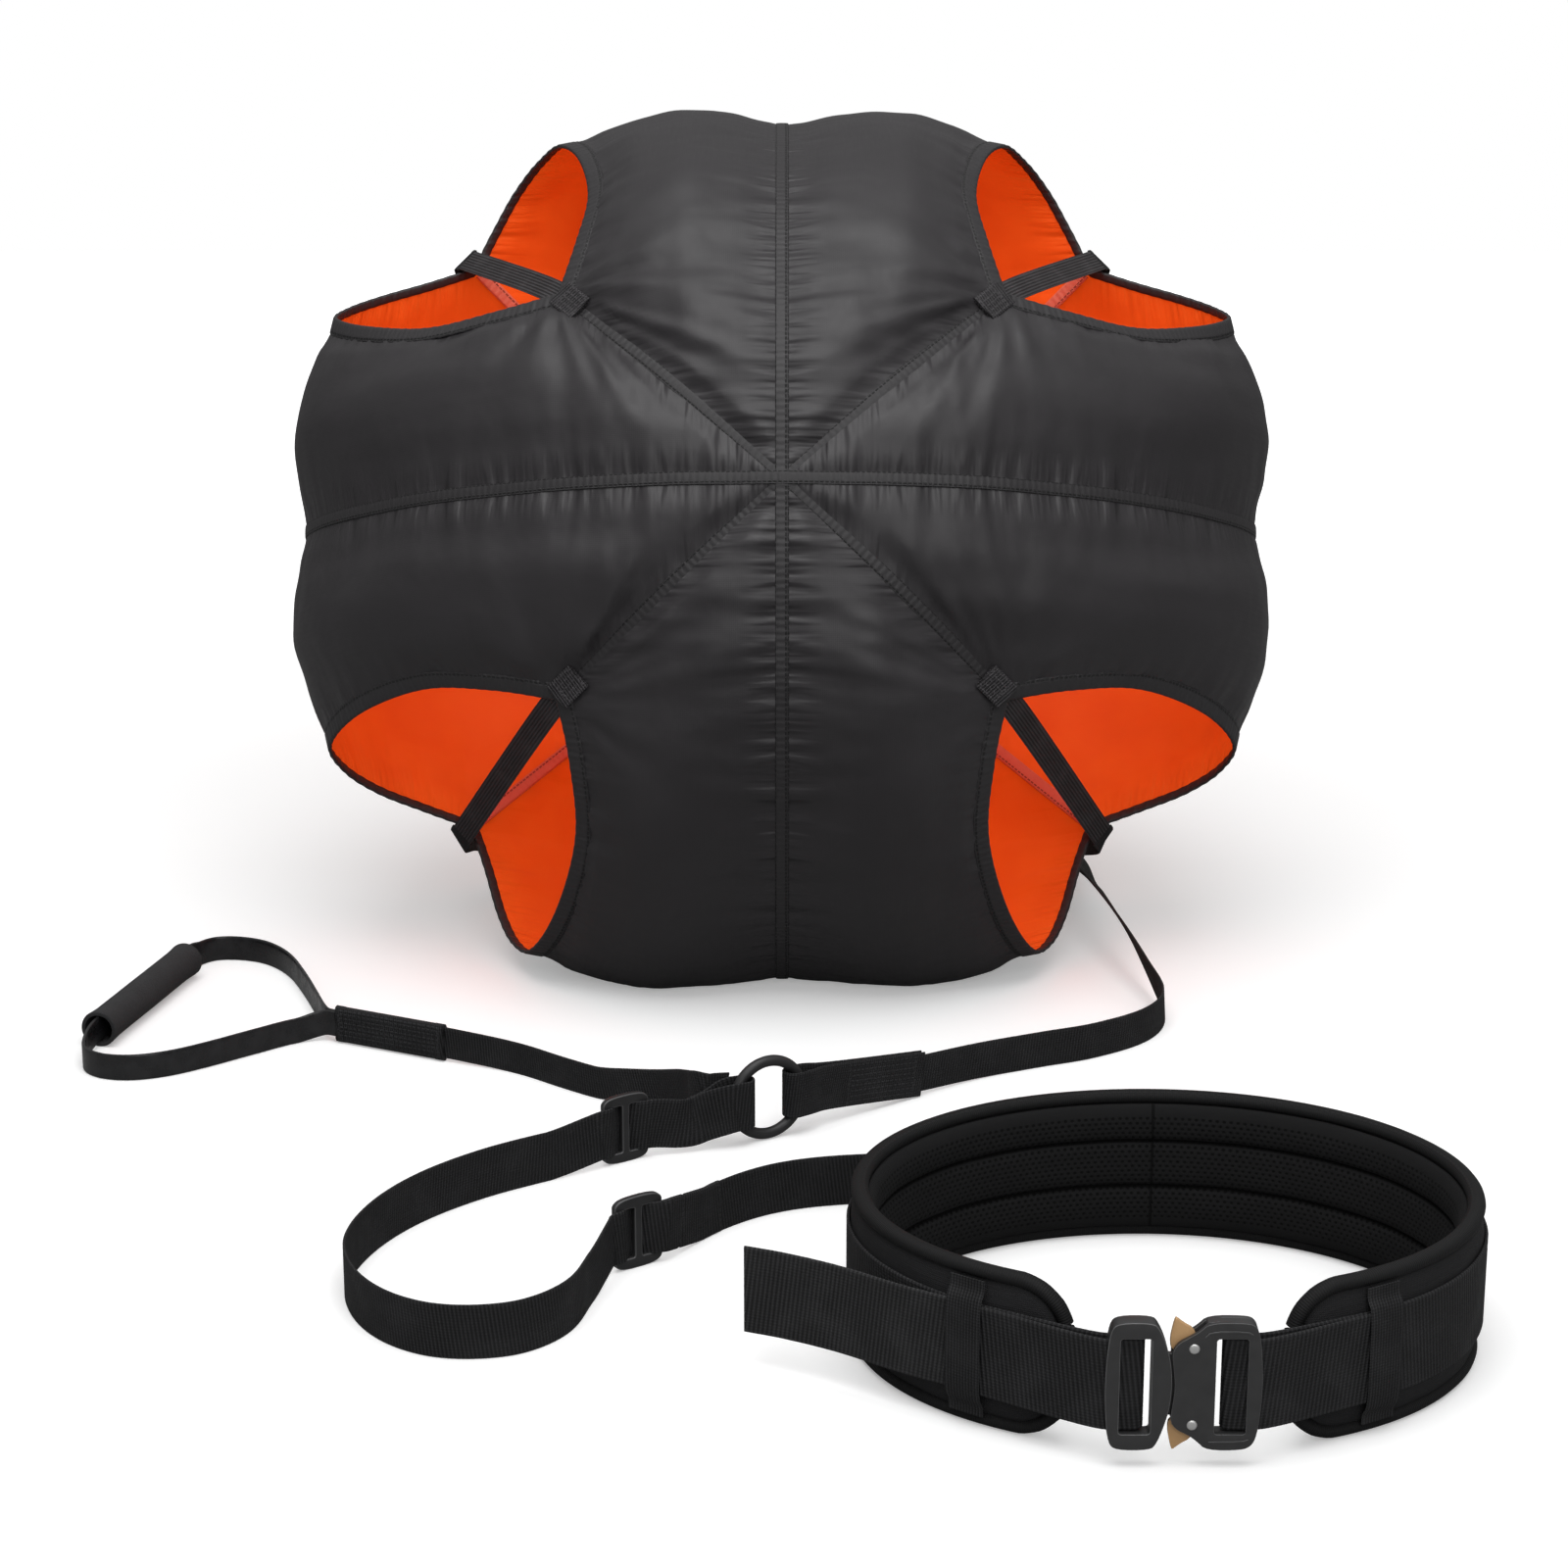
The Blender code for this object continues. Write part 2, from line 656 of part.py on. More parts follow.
def add_bindings():
    """A binding round each of the four vents and round the mouth."""
    lip_stations = [s for s in gore_stations if s > front_pinch]
    for corner, (first, first_hand, second, second_hand) in corners.items():
        rows = []
        for arm, hand, stations in ((first, first_hand, lip_stations),
                                    (second, second_hand, lip_stations[::-1])):
            for station in stations:
                split = cloth_split / half_width(station)
                rows.append([lifted([(arm, station, hand * side)], tape_lift)
                             for side in (edge_share(station), 1 - split)])
        mesh = grid_mesh(f"vent_binding_{corner}", rows, closed=True)
        face_away(mesh, canopy_heart)
        thicken(place_object(mesh.name, mesh, tape), seam_tape_thickness, 1)
    rows = []
    for arm in arms:
        for side in (-0.8, -0.4, 0, 0.4, 0.8, 1):
            spots = [hub_spot(arm, side, 0)]
            if side == 1:
                other = list(arms)[(list(arms).index(arm) + 1) % 4]
                spots.append(hub_spot(other, -1, 0))
            rows.append([lifted([(name, station, share) for name, _, share in spots], mouth_lift)
                         for station in (mouth_row, mouth_rim)])
    mesh = grid_mesh("mouth_binding", rows, closed=True)
    face_away(mesh, canopy_heart)
    thicken(place_object(mesh.name, mesh, tape), seam_tape_thickness, 1)


# Corner straps

def corner_frame(corner):
    """Front and back pinch points, and the corner's outward, along and side directions."""
    first, hand = corners[corner][:2]
    front = canopy_point(first, front_pinch, hand)
    back = canopy_point(first, back_pinch, hand)
    along = (back - front).normalized()
    centre = apex_place + backward * (front - apex_place).dot(backward)
    outward = front - centre
    outward = (outward - along * outward.dot(along)).normalized()
    return front, back, along, outward, along.cross(outward)


def band(name, middles, side, width, thickness, surface):
    """A strap whose width lies along one fixed direction."""
    rows = [[middle - side * (width / 2), middle + side * (width / 2)] for middle in middles]
    item = place_object(name, grid_mesh(name, rows, triangles=False), surface)
    thicken(item, thickness, 0)
    return item


def add_corner_straps():
    """A taut strap over each vent, sewn down by a tab at its front pinch."""
    for corner, (first, hand, _, _) in corners.items():
        front, back, along, outward, side = corner_frame(corner)
        seam = (canopy_point(first, 1.62, hand) - front).normalized()
        seam_side = seam.cross(side).normalized()
        seam_up = seam_side if seam_side.dot(front - canopy_heart) > 0 else -seam_side
        sewn = front + seam * corner_tab_length + seam_up * corner_sewn_lift
        knee = front + outward * corner_lift
        heel = back + outward * corner_back_lift
        band(f"corner_strap_{corner}", [sewn, knee, heel], side, corner_strap_width,
             corner_strap_thickness, webbing)
        rise = (corner_strap_thickness + corner_tab_thickness()) / 2 + seam_gap
        tab_end = sewn + (knee - sewn) * 0.75
        middles = [sewn + seam_up * rise, tab_end + seam_up * rise]
        band(f"corner_tab_{corner}", middles, side, corner_tab_width, corner_tab_thickness(), webbing)


def corner_tab_thickness():
    """A tab is one more layer of the same strap."""
    return corner_strap_thickness


# Bridle and tow strap

def junction_ends(layer, layers, aside):
    """Where one of the stacked legs meets the back of the junction, and a point just before."""
    height = junction_height * (layer + 0.5) / layers
    spots = []
    for before in (bridle_width / 2, 0):
        spot = junction_place - plan(junction_heading, junction_length / 2 + seam_gap + before, aside)
        spots.append(np.array([spot.x, spot.y, height, pi / 2]))
    return spots


bridle_bends = {
    "upper_right": [(214, 276, 420), (178, 334, 300), (136, 362, 170), (94, 360, 74), (54, 362, 28),
                    (24, 380, 12)],
    "upper_left": [(-216, 276, 420), (-172, 336, 292), (-124, 366, 160), (-74, 364, 58), (-34, 366, 20),
                   (-4, 382, 8)],
    "lower_right": [(214, 128, 58), (190, 186, 14), (140, 262, 2), (92, 312, 2), (52, 346, 4),
                    (24, 374, 5)],
    "lower_left": [(-230, 132, 62), (-200, 210, 16), (-134, 292, 2), (-72, 336, 2), (-30, 358, 2),
                   (-3, 380, 2)],
}


def add_bridle():
    """Four legs from the back pinches to a stitched junction on the floor."""
    for layer, corner in enumerate(("lower_left", "lower_right", "upper_left", "upper_right")):
        _, back, along, outward, side = corner_frame(corner)
        start = back + outward * corner_back_lift + along * seam_gap
        turn = start + along * (bridle_width * 0.6)
        bends = [np.array(bend) * mm for bend in bridle_bends[corner]]
        first = lean_toward(Vector(bends[0]) - start, side)
        first = first % pi
        opening = lean_toward(along, side) % pi
        leans = [*np.linspace(first, pi / 2, len(bends) - 3), pi / 2, pi / 2, pi / 2]
        route = [np.array([*start, opening]), np.array([*turn, opening])]
        route += [np.array([*bend, lean]) for bend, lean in zip(bends, leans)]
        hand = 1 if "right" in corner else -1
        route += junction_ends(layer, 4, -hand * seam_gap)
        strap(f"bridle_{corner}", run_through(route, True, True), bridle_width, bridle_thickness,
              webbing)
    block("bridle_junction", (junction_length, junction_width, junction_height),
          junction_place + up * (junction_height / 2), webbing, junction_heading, seam_gap * 3)


tow_route = [(14, 498, 4), (44, 524, 8), (96, 520, 12), (146, 474, 13), (184, 400, 15), (208, 310, 17),
             (222, 230, 21), (224, 160, 28), (226, 90, 42), (240, 20, 36), (255, -44, 19),
             (259, -88, 13), (243, -124, 12.5), (206, -154, 12.5), (167, -172, 12.5), (128, -192, 13)]


def add_tow_strap():
    """From the junction round the right side of the canopy to the sleeve."""
    limb = ring_place + plan(ring_heading, ring_radius)
    end = limb + plan(sleeve_heading, sleeve_length - tow_insert)
    mouth = limb + plan(sleeve_heading, sleeve_length)
    route = []
    for ahead in (seam_gap, tow_width / 3):
        front = junction_place + plan(junction_heading, junction_length / 2 + ahead)
        route.append(np.array([front.x, front.y, junction_height / 2, pi / 2]))
    leans = [radians(turn) for turn in (90, 86, 74.5, 69, 63, 60, 57, 52, 43, 32, 14, 3, 0, 0, 0, 0)]
    for (x, y, z), tip in zip(tow_route, leans):
        route.append(np.array([x * mm, y * mm, z * mm, tip]))
    height = ring_radius + ring_wire
    route.append(np.array([mouth.x, mouth.y, sleeve_width / 2 + seam_gap, 0]))
    path = run_through(route, True)
    path.append(np.array([end.x, end.y, (height + sleeve_width / 2) / 2, 0]))
    strap("tow_strap", path, tow_width, tow_thickness, webbing)


# Pull ring and the folds through it

def fold_path(limb, heading, reach, spread, thickness, far_height, back_reach=None):
    """A strap doubled round the ring: near run outward, round the wire and back.

    The path runs from the near side's far end, round the limb, to the far side's end.
    """
    inside = ring_wire + fold_room
    radius = inside + thickness / 2
    centre = radius - inside + ring_wire * 1.5
    height = ring_radius + ring_wire
    path = []
    back_reach = reach if back_reach is None else back_reach
    for hand, far in ((-1, reach), (1, back_reach)):
        run = []
        for along, aside in ((far, spread), (ring_radius * fold_close, spread), (ring_radius * fold_open, radius),
                             (-centre + radius * 0.2, radius)):
            share = min(max((along - ring_radius * fold_open) / (reach - ring_radius * fold_open), 0), 1)
            spot = limb + plan(heading, along, hand * aside)
            run.append(np.array([spot.x, spot.y, height + (far_height - height) * share]))
        path += run if hand < 0 else run[::-1]
        if hand < 0:
            for step in range(1, 8):
                angle = pi * step / 8
                spot = limb + plan(heading, -centre - radius * sin(angle), -radius * cos(angle))
                path.append(np.array([spot.x, spot.y, height]))
    return path


def add_ring():
    """A round steel ring standing on its edge."""
    bpy.ops.mesh.primitive_torus_add(major_radius=ring_radius, minor_radius=ring_wire,
                                     major_segments=32, minor_segments=10)
    item = bpy.context.active_object
    item.name = "pull_ring"
    for collection in list(item.users_collection):
        collection.objects.unlink(item)
    parts.objects.link(item)
    item.data.materials.append(black_steel)
    item.data.shade_smooth()
    item.location = ring_place + up * (ring_radius + ring_wire)
    item.rotation_euler = (pi / 2, 0, ring_heading)


def add_tow_sleeve():
    """Webbing doubled round the ring's right limb with the tow strap sewn between its layers."""
    limb = ring_place + plan(ring_heading, ring_radius)
    spread = (sleeve_thickness + tow_thickness) / 2 + seam_gap
    path = fold_path(limb, sleeve_heading, sleeve_length, spread, sleeve_thickness,
                     sleeve_width / 2 + seam_gap)
    strap("tow_sleeve", path, sleeve_width, sleeve_thickness, webbing)


# Leash

def weave(place, heading, hand=1):
    """The webbing's way through a triglide: past an end bar, behind the middle bar, past the other.

    A hand of -1 takes it past the other faces of the bars.
    """
    depth = (glide_thickness / 2 + glide_clear + leash_thickness / 2) * hand
    end_bar = (glide_length - glide_bar) / 2
    reach = end_bar + glide_bar
    spots = []
    for along, aside in ((-reach, 1), (-end_bar + glide_bar / 2, 1), (-glide_bar / 2, -1),
                         (glide_bar / 2, -1), (end_bar - glide_bar / 2, 1), (reach, 1)):
        spot = place + plan(heading, along, aside * depth)
        spots.append(np.array([spot.x, spot.y, leash_width / 2 + glide_lift()]))
    return spots


def glide_lift():
    """The triglide stands on the floor, which raises the webbing inside it."""
    return (glide_height - leash_width) / 2


def add_triglide(name, place, heading):
    """A three-bar slider."""
    slot = (glide_length - 3 * glide_bar) / 2
    height = glide_height - 2 * glide_rail
    offset = (slot + glide_bar) / 2
    item = plate(name, [rectangle(glide_length, glide_height), rectangle(slot, height, -offset),
                        rectangle(slot, height, offset)], glide_thickness, black_steel, glide_round)
    item.location = place + up * (glide_height / 2)
    item.rotation_euler = (pi / 2, 0, heading)


upper_leash = [(-142, -362), (-182, -391), (-216, -428), (-238, -470), (-247, -515), (-240, -552),
               (-222, -583), (-196, -603), (-168, -608), (-140, -600), (-118, -575), (-107, -535)]
lower_leash = [(-46, -448), (-28, -428), (-8, -413), (16, -403), (50, -397), (90, -396), (130, -401),
               (172, -411)]


def add_leash():
    """One webbing from the ring through both triglides to the back of the belt."""
    limb = ring_place - plan(ring_heading, ring_radius)
    flat = leash_width / 2
    spread = (leash_thickness + seam_gap) / 2
    fold = fold_path(limb, leash_heading, leash_return, spread, leash_thickness, flat + glide_lift() / 2)
    first = weave(upper_glide_place, upper_glide_heading)
    second = weave(lower_glide_place, lower_glide_heading, -1)
    loop = [np.array([x * mm, y * mm, flat]) for x, y in upper_leash]
    rest = [np.array([x * mm, y * mm, flat]) for x, y in lower_leash]
    path = fold + first[:-1]
    path += run_through([first[-1], *loop, second[0]])
    path += second[1:-1]
    anchor = anchor_spots()
    path += run_through([second[-1], *rest, anchor[0]])
    path += anchor[1:]
    strap("leash", path, leash_width, leash_thickness, webbing)
    add_triglide("triglide_upper", upper_glide_place, upper_glide_heading)
    add_triglide("triglide_lower", lower_glide_place, lower_glide_heading)


# Belt

def belt_table():
    """Arc length against turn round the belt's outer oval."""
    turns = np.linspace(-2 * pi, 2 * pi, 2881)
    x, y = belt_half_width * np.sin(turns), -belt_half_depth * np.cos(turns)
    lengths = np.concatenate([[0], np.cumsum(np.hypot(np.diff(x), np.diff(y)))])
    return turns, lengths


belt_turns, belt_lengths = belt_table()


def belt_spot(turn, outward, height):
    """A point by the belt: turn 0 is the front and a quarter turn is the right side."""
    across_oval = Vector((belt_half_width * sin(turn), -belt_half_depth * cos(turn), 0))
    normal = Vector((belt_half_depth * sin(turn), -belt_half_width * cos(turn), 0)).normalized()
    return belt_place + across_oval + normal * outward + up * height


def turn_at(length):
    """Turn at an arc length."""
    return float(np.interp(length, belt_lengths, belt_turns))


def length_at(turn):
    """Arc length at a turn."""
    return float(np.interp(turn, belt_turns, belt_lengths))


pad_start = length_at(pad_right_end)
pad_stop = length_at(pad_left_end + 2 * pi)
pad_half_height = belt_height / 2 - 2 * belt_binding - seam_gap


def pad_height(length):
    """Half height of the pad, drawn in round its two ends."""
    inset = min(length - pad_start, pad_stop - length)
    if inset >= belt_corner:
        return pad_half_height
    return pad_half_height - belt_corner + sqrt(max(belt_corner**2 - (belt_corner - inset)**2, 0))


pad_out_shares = [(0.12, 0.0), (0.06, 0.30), (0.0, 0.68), (0.16, 0.92), (0.45, 1.0), (0.74, 0.92),
                  (1.0, 0.62), (1.0, 0.0)]
lining_shares = [(0.0, 0.0), (0.0, 0.62), (-0.38, 0.90), (-0.16, 0.96), (0.10, 0.97), (0.62, 0.86),
                 (1.0, 0.66), (0.72, 0.46), (0.16, 0.34), (0.72, 0.22), (1.0, 0.0)]


def mirrored_ring(shares):
    """A ring of (depth, height) shares mirrored top to bottom."""
    top = shares
    bottom = [(depth, -height) for depth, height in shares[::-1] if height > 0]
    return top + bottom


def belt_ring(length, shares, start, thickness):
    """One cross section of a belt layer at an arc length."""
    height = pad_height(length)
    turn = turn_at(length)
    ring = []
    for depth, rise in mirrored_ring(shares):
        ring.append(belt_spot(turn, -start - depth * thickness, belt_height / 2 + rise * height))
    return ring


def belt_marks():
    """Arc lengths that every layer of the belt bends at, from one keeper round to the other."""
    marks = []
    for hand in (1, -1):
        marks += [keeper_length(hand) + share * keeper_width / 2 for share in (-1, 0, 1)]
    start, stop = keeper_length(1) + keeper_width / 2, keeper_length(-1) - keeper_width / 2
    return sorted([*marks, *np.linspace(start, stop, 24)[1:-1]])


def belt_stations():
    """Arc lengths of the pad's sections, closer together round its ends."""
    corner = [belt_corner * (1 - cos(pi / 2 * step / 4)) for step in range(5)]
    first, last = pad_start + belt_corner, pad_stop - belt_corner
    marks = [mark for mark in belt_marks() if first < mark < last]
    near = [(first + marks[0]) / 2]
    far = [(last + marks[-1]) / 2]
    return [*(pad_start + inset for inset in corner), *near, *marks, *far,
            *(pad_stop - inset for inset in corner[::-1])]


def add_belt():
    """Foam pad, quilted spacer lining, rolled edge binding, webbing and its two keepers."""
    stations = belt_stations()
    loft("belt_pad", [belt_ring(s, pad_out_shares, 0, pad_thickness) for s in stations], pad_cloth)
    start = pad_thickness + 2 * seam_gap
    loft("belt_lining", [belt_ring(s, lining_shares, start, lining_thickness) for s in stations],
         spacer_mesh)
    add_belt_binding(stations)
    add_anchor_patch()
    add_keepers()
    add_belt_webbing()


def add_belt_binding(stations):
    """A rolled edge that runs once round the pad's outline."""
    clear = belt_binding + seam_gap
    middle = -pad_thickness * 0.55
    radius = belt_corner + clear
    outline = []
    for end, hand in ((pad_start, 1), (pad_stop, -1)):
        side = []
        for step in range(7):
            angle = pi / 2 * step / 6
            inset = belt_corner - radius * cos(angle)
            rise = pad_half_height - belt_corner + radius * sin(angle)
            side.append((end + hand * inset, rise))
        outline.append(side)
    top = list(outline[0])
    top += [(length, pad_half_height + clear) for length in stations[5:-5]]
    top += outline[1][::-1]
    ring = top + [(length, -rise) for length, rise in top[::-1]]
    curve = bpy.data.curves.new("belt_binding", 'CURVE')
    curve.dimensions = '3D'
    curve.bevel_depth = belt_binding
    curve.bevel_resolution = 1
    curve.twist_mode = 'Z_UP'
    spline = curve.splines.new('POLY')
    spline.points.add(len(ring) - 1)
    for spot, (length, rise) in zip(spline.points, ring):
        spot.co = (*belt_spot(turn_at(length), middle, belt_height / 2 + rise), 1)
    spline.use_cyclic_u = True
    curve.materials.append(tape)
    item = bpy.data.objects.new("belt_binding", curve)
    parts.objects.link(item)


def webbing_offset(layer):
    """Middle of a belt webbing layer outside the pad: 0 is the layer against it."""
    return seam_gap + belt_webbing_thickness / 2 + layer * (belt_webbing_thickness + seam_gap)


def anchor_spots():
    """The leash's last stretch, sewn to the belt webbing at the back."""
    out = webbing_offset(0) + belt_webbing_thickness / 2 + seam_gap + leash_thickness / 2
    spots = []
    first, *middle, last = patch_marks()
    for mark in [first + anchor_patch_length / 4, first, *middle]:
        spot = belt_spot(turn_at(mark), out + (leash_thickness if mark > first else 0), 0)
        spots.append(np.array([spot.x, spot.y, leash_width / 2]))
    return spots


def patch_marks():
    """Arc lengths where the patch bends with the belt, from the leash's side."""
    middle = length_at(anchor_turn)
    half = anchor_patch_length / 2
    inner = [mark for mark in belt_marks() if abs(mark - middle) < half - seam_gap]
    return [middle + half, *inner[::-1], middle - half]


def add_anchor_patch():
    """A stitched patch that covers the leash's end at the back of the belt."""
    out = (webbing_offset(0) + belt_webbing_thickness / 2 + seam_gap + leash_thickness + seam_gap
           + anchor_patch_thickness / 2)
    rows = []
    for mark in patch_marks():
        rows.append([belt_spot(turn_at(mark), out, leash_width / 2 + leash_gap_height(hand))
                     for hand in (-1, 1)])
    item = place_object("anchor_patch", grid_mesh("anchor_patch", rows), webbing)
    thicken(item, anchor_patch_thickness, 0)


def leash_gap_height(hand):
    """Upper and lower edge of the patch about the leash's middle."""
    return anchor_patch_height / 2 if hand > 0 else -leash_width / 2 + seam_gap


def keeper_length(hand):
    """Arc length of a keeper's middle: hand -1 is the left one."""
    return length_at(keeper_right_turn) if hand > 0 else length_at(keeper_left_turn + 2 * pi)


def add_keepers():
    """An elastic loop on each side that holds the webbing against the pad."""
    layers = 2
    out = webbing_offset(layers - 1) + belt_webbing_thickness / 2 + seam_gap + keeper_thickness / 2
    low = seam_gap + keeper_thickness / 2
    tall = keeper_height / 2
    inner_tall = belt_webbing_width / 2 + seam_gap + keeper_thickness
    path = [(low, tall), (low, inner_tall + out), (out, inner_tall), (out, -inner_tall),
            (low, -inner_tall - out), (low, -tall)]
    for hand, word in ((-1, "left"), (1, "right")):
        middle = keeper_length(hand)
        rows = []
        for outward, rise in path:
            rows.append([belt_spot(turn_at(middle + side * keeper_width / 2), outward,
                                   belt_height / 2 + rise) for side in (-0.96, 0, 0.96)])
        item = place_object(f"keeper_{word}", grid_mesh(f"keeper_{word}", rows), webbing)
        thicken(item, keeper_thickness, 0)


def pin_place(hand):
    """Middle of the pin inside a half's slot: hand -1 is the male half on the left."""
    reach = male_width if hand < 0 else female_width
    x = hand * (reach + buckle_seam / 2 - slot_bar - slot_width * 0.42)
    return buckle_middle + Vector((x + buckle_shift(), pin_setback, 0))


def buckle_shift():
    """The seam between the halves lies left of the buckle's middle."""
    return (male_width - female_width) / 2


def pin_fold(hand):
    """The webbing's turn round a pin, from its outer layer to its inner one."""
    pin = pin_place(hand)
    radius = pin_radius + seam_gap * 2 + belt_webbing_thickness / 2
    spots = []
    for step in range(9):
        angle = pi * step / 8
        spots.append(np.array([pin.x - hand * radius * sin(angle), pin.y - radius * cos(angle),
                               belt_height / 2]))
    return spots


def keeper_spots(hand, layer, shares):
    """Places along a layer of webbing under a keeper."""
    middle = keeper_length(hand)
    spots = []
    for share in shares:
        spot = belt_spot(turn_at(middle + share * keeper_width / 2), webbing_offset(layer), 0)
        spots.append(np.array([spot.x, spot.y, belt_height / 2]))
    return spots


def lead_run(hand, layer):
    """One layer between a keeper and its pin, bending round with the pad and behind the slot bar."""
    middle = keeper_length(hand)
    pin = pin_place(hand)
    radius = pin_radius + seam_gap * 2 + belt_webbing_thickness / 2
    half = male_width if hand < 0 else female_width
    bar_x = buckle_middle.x + buckle_shift() + hand * (half + buckle_seam / 2)
    y = pin.y + (radius if layer == 0 else -radius)
    spots = [np.array([bar_x - hand * slot_bar, y, belt_height / 2]),
             np.array([bar_x + hand * slot_bar * 0.6, y, belt_height / 2])]
    away = keeper_width / 2 + 8 * seam_gap
    near = belt_spot(turn_at(middle - hand * away), webbing_offset(layer), 0)
    spots.append(np.array([near.x, near.y, belt_height / 2]))
    return spots


tail_steps = [(-22.4 * mm, 14 * mm), (-56.4 * mm, 39 * mm), (-84.4 * mm, 55 * mm),
              (-105.4 * mm, 64 * mm)]     # from where the tail leaves the left keeper


def add_belt_webbing():
    """Webbing round the pad and through the female half, a separate lead to the male half, a tail."""
    level = belt_height / 2
    joint = seam_gap / keeper_width
    outer = keeper_spots(1, 1, (1, 0, -1)) + lead_run(1, 1)[::-1]
    inner = lead_run(1, 0) + keeper_spots(1, 0, (-1, 0, 1))
    round_pad = []
    start, stop = keeper_length(1) + keeper_width / 2, keeper_length(-1) - keeper_width / 2
    for length in belt_marks():
        if start + seam_gap < length < stop - seam_gap:
            round_pad.append(np.array(belt_spot(turn_at(length), webbing_offset(0), level)))
    inner_end = keeper_spots(-1, 0, (-1, -joint))
    path = outer + pin_fold(1) + inner + round_pad + inner_end
    strap("belt_webbing", path, belt_webbing_width, belt_webbing_thickness, webbing)
    lead = keeper_spots(-1, 1, (joint, 1)) + lead_run(-1, 1)[::-1]
    lead += pin_fold(-1) + lead_run(-1, 0) + keeper_spots(-1, 0, (1, joint))
    strap("belt_webbing_lead", lead, belt_webbing_width, belt_webbing_thickness, webbing)
    tail = keeper_spots(-1, 1, (-joint, -1))
    leaves = tail[-1]
    tail += [np.array([leaves[0] + x, leaves[1] + y, level]) for x, y in tail_steps]
    tail = tail[:1] + run_through(tail[1:])
    strap("belt_webbing_tail", tail, belt_webbing_width, belt_webbing_thickness, webbing)


# Handle

def handle_end(along, aside, height):
    """A place by the handle's sleeve."""
    spot = handle_sleeve_place + plan(handle_sleeve_heading, along, aside)
    return np.array([spot.x, spot.y, height])


handle_route = [(-178, -181, 11), (-141, -211, 11), (-120, -227, 11), (-97, -240, 12.5), (-78, -252, 16),
                (-66, -265, 21), (-60, -280, 26), (-58, -295, 31), (-53, -304, 33)]
near_loop = [(-327, -126), (-353, -147), (-382, -172), (-405, -188), (-428, -195), (-449, -190),
             (-461, -174)]
far_loop = [(-418, 31), (-407, 42), (-388, 42), (-369, 32), (-351, 8), (-336, -28), (-321, -72)]


def add_handle():
    """Strap, sewn sleeve, rubber loop and a loose foam grip."""
    block("handle_sleeve", (handle_sleeve_length, handle_sleeve_thickness, handle_sleeve_height),
          handle_sleeve_place + up * (handle_sleeve_height / 2), webbing, handle_sleeve_heading,
          seam_gap * 3)
    half = handle_sleeve_length / 2 + seam_gap
    middle = handle_sleeve_height / 2
    limb = ring_place - plan(ring_heading, ring_radius)
    wide, narrow = ring_wire + fold_room + leash_thickness / 2, (leash_thickness + seam_gap) / 2
    ends = []
    for along in (handle_hold_start + handle_hold, handle_hold_start):
        share = (fold_close * ring_radius - along) / ((fold_close - fold_open) * ring_radius)
        behind = narrow + (wide - narrow) * share + leash_thickness / 2 + handle_strap_thickness / 2
        ends.append(limb + plan(leash_heading, along, -behind - 2 * seam_gap))
    route = [handle_end(half, 0, middle), handle_end(half + 4 * handle_strap_thickness, 0, middle)]
    route += [np.array([x * mm, y * mm, z * mm]) for x, y, z in handle_route]
    route.append(np.array([ends[0].x, ends[0].y, handle_hold_height]))
    path = run_through(route, True)
    path.append(np.array([ends[1].x, ends[1].y, handle_hold_height]))
    strap("handle_strap", path, handle_strap_width, handle_strap_thickness, webbing)
    aside = handle_loop_thickness / 2 + seam_gap / 2
    low = handle_loop_width / 2
    axis = grip_radius
    straight = grip_length / 2 + 2 * handle_loop_thickness
    grip_ends = [grip_place + plan(grip_heading, reach) for reach in (-straight, 0, straight)]
    square = half + 3 * handle_loop_thickness
    route = [handle_end(-half, -aside, middle), handle_end(-square, -aside, middle)]
    route += [np.array([x * mm, y * mm, low]) for x, y in near_loop]
    route += [np.array([spot.x, spot.y, axis]) for spot in grip_ends]
    route += [np.array([x * mm, y * mm, low]) for x, y in far_loop]
    route += [handle_end(-square, aside, middle), handle_end(-half, aside, middle)]
    strap("handle_loop", run_through(route, True, True), handle_loop_width, handle_loop_thickness,
          rubber)
    rod("grip", grip_radius, grip_length, grip_place + up * grip_radius, foam,
        plan(grip_heading, 1), 24, grip_bore)


# Buckle

def upright(item, place):
    """Stand a plate's plane across the depth of the buckle."""
    item.location = place
    item.rotation_euler = (pi / 2, 0, 0)


def add_male_half():
    """Frame with a webbing slot, a tongue that latches, and the pin the webbing turns on."""
    seam = buckle_middle + Vector((buckle_shift(), 0, 0))
    place = seam - Vector((male_width / 2 + buckle_seam / 2, 0, 0))
    tall, wide = buckle_height / 2, male_width / 2
    slot_x = -wide + slot_bar + slot_width / 2
    corner = slot_bar / 2
    outline = [(-wide + corner, -tall), (wide, -tall), (wide, tall), (-wide + corner, tall),
               (-wide, tall - corner * 2), (-wide, -tall + corner * 2)]
    frame = plate("buckle_male_frame", [outline, rectangle(slot_width, slot_height, slot_x)],
                  buckle_thickness, plastic)
    upright(frame, place)
    recess = cutter("male_recess", (slot_bar * 3, buckle_thickness, slot_height),
                    place + Vector((-wide + slot_bar / 2, bar_depth, 0)))
    mesh_cut(frame, recess)
    tongue = plate("buckle_tongue", [tongue_outline()], tongue_thickness, black_steel)
    upright(tongue, seam + Vector((-buckle_seam / 2 + seam_gap, 0, 0)))
    pin = pin_place(-1)
    rod("buckle_male_pin", pin_radius, slot_height - 2 * seam_gap, pin, steel)


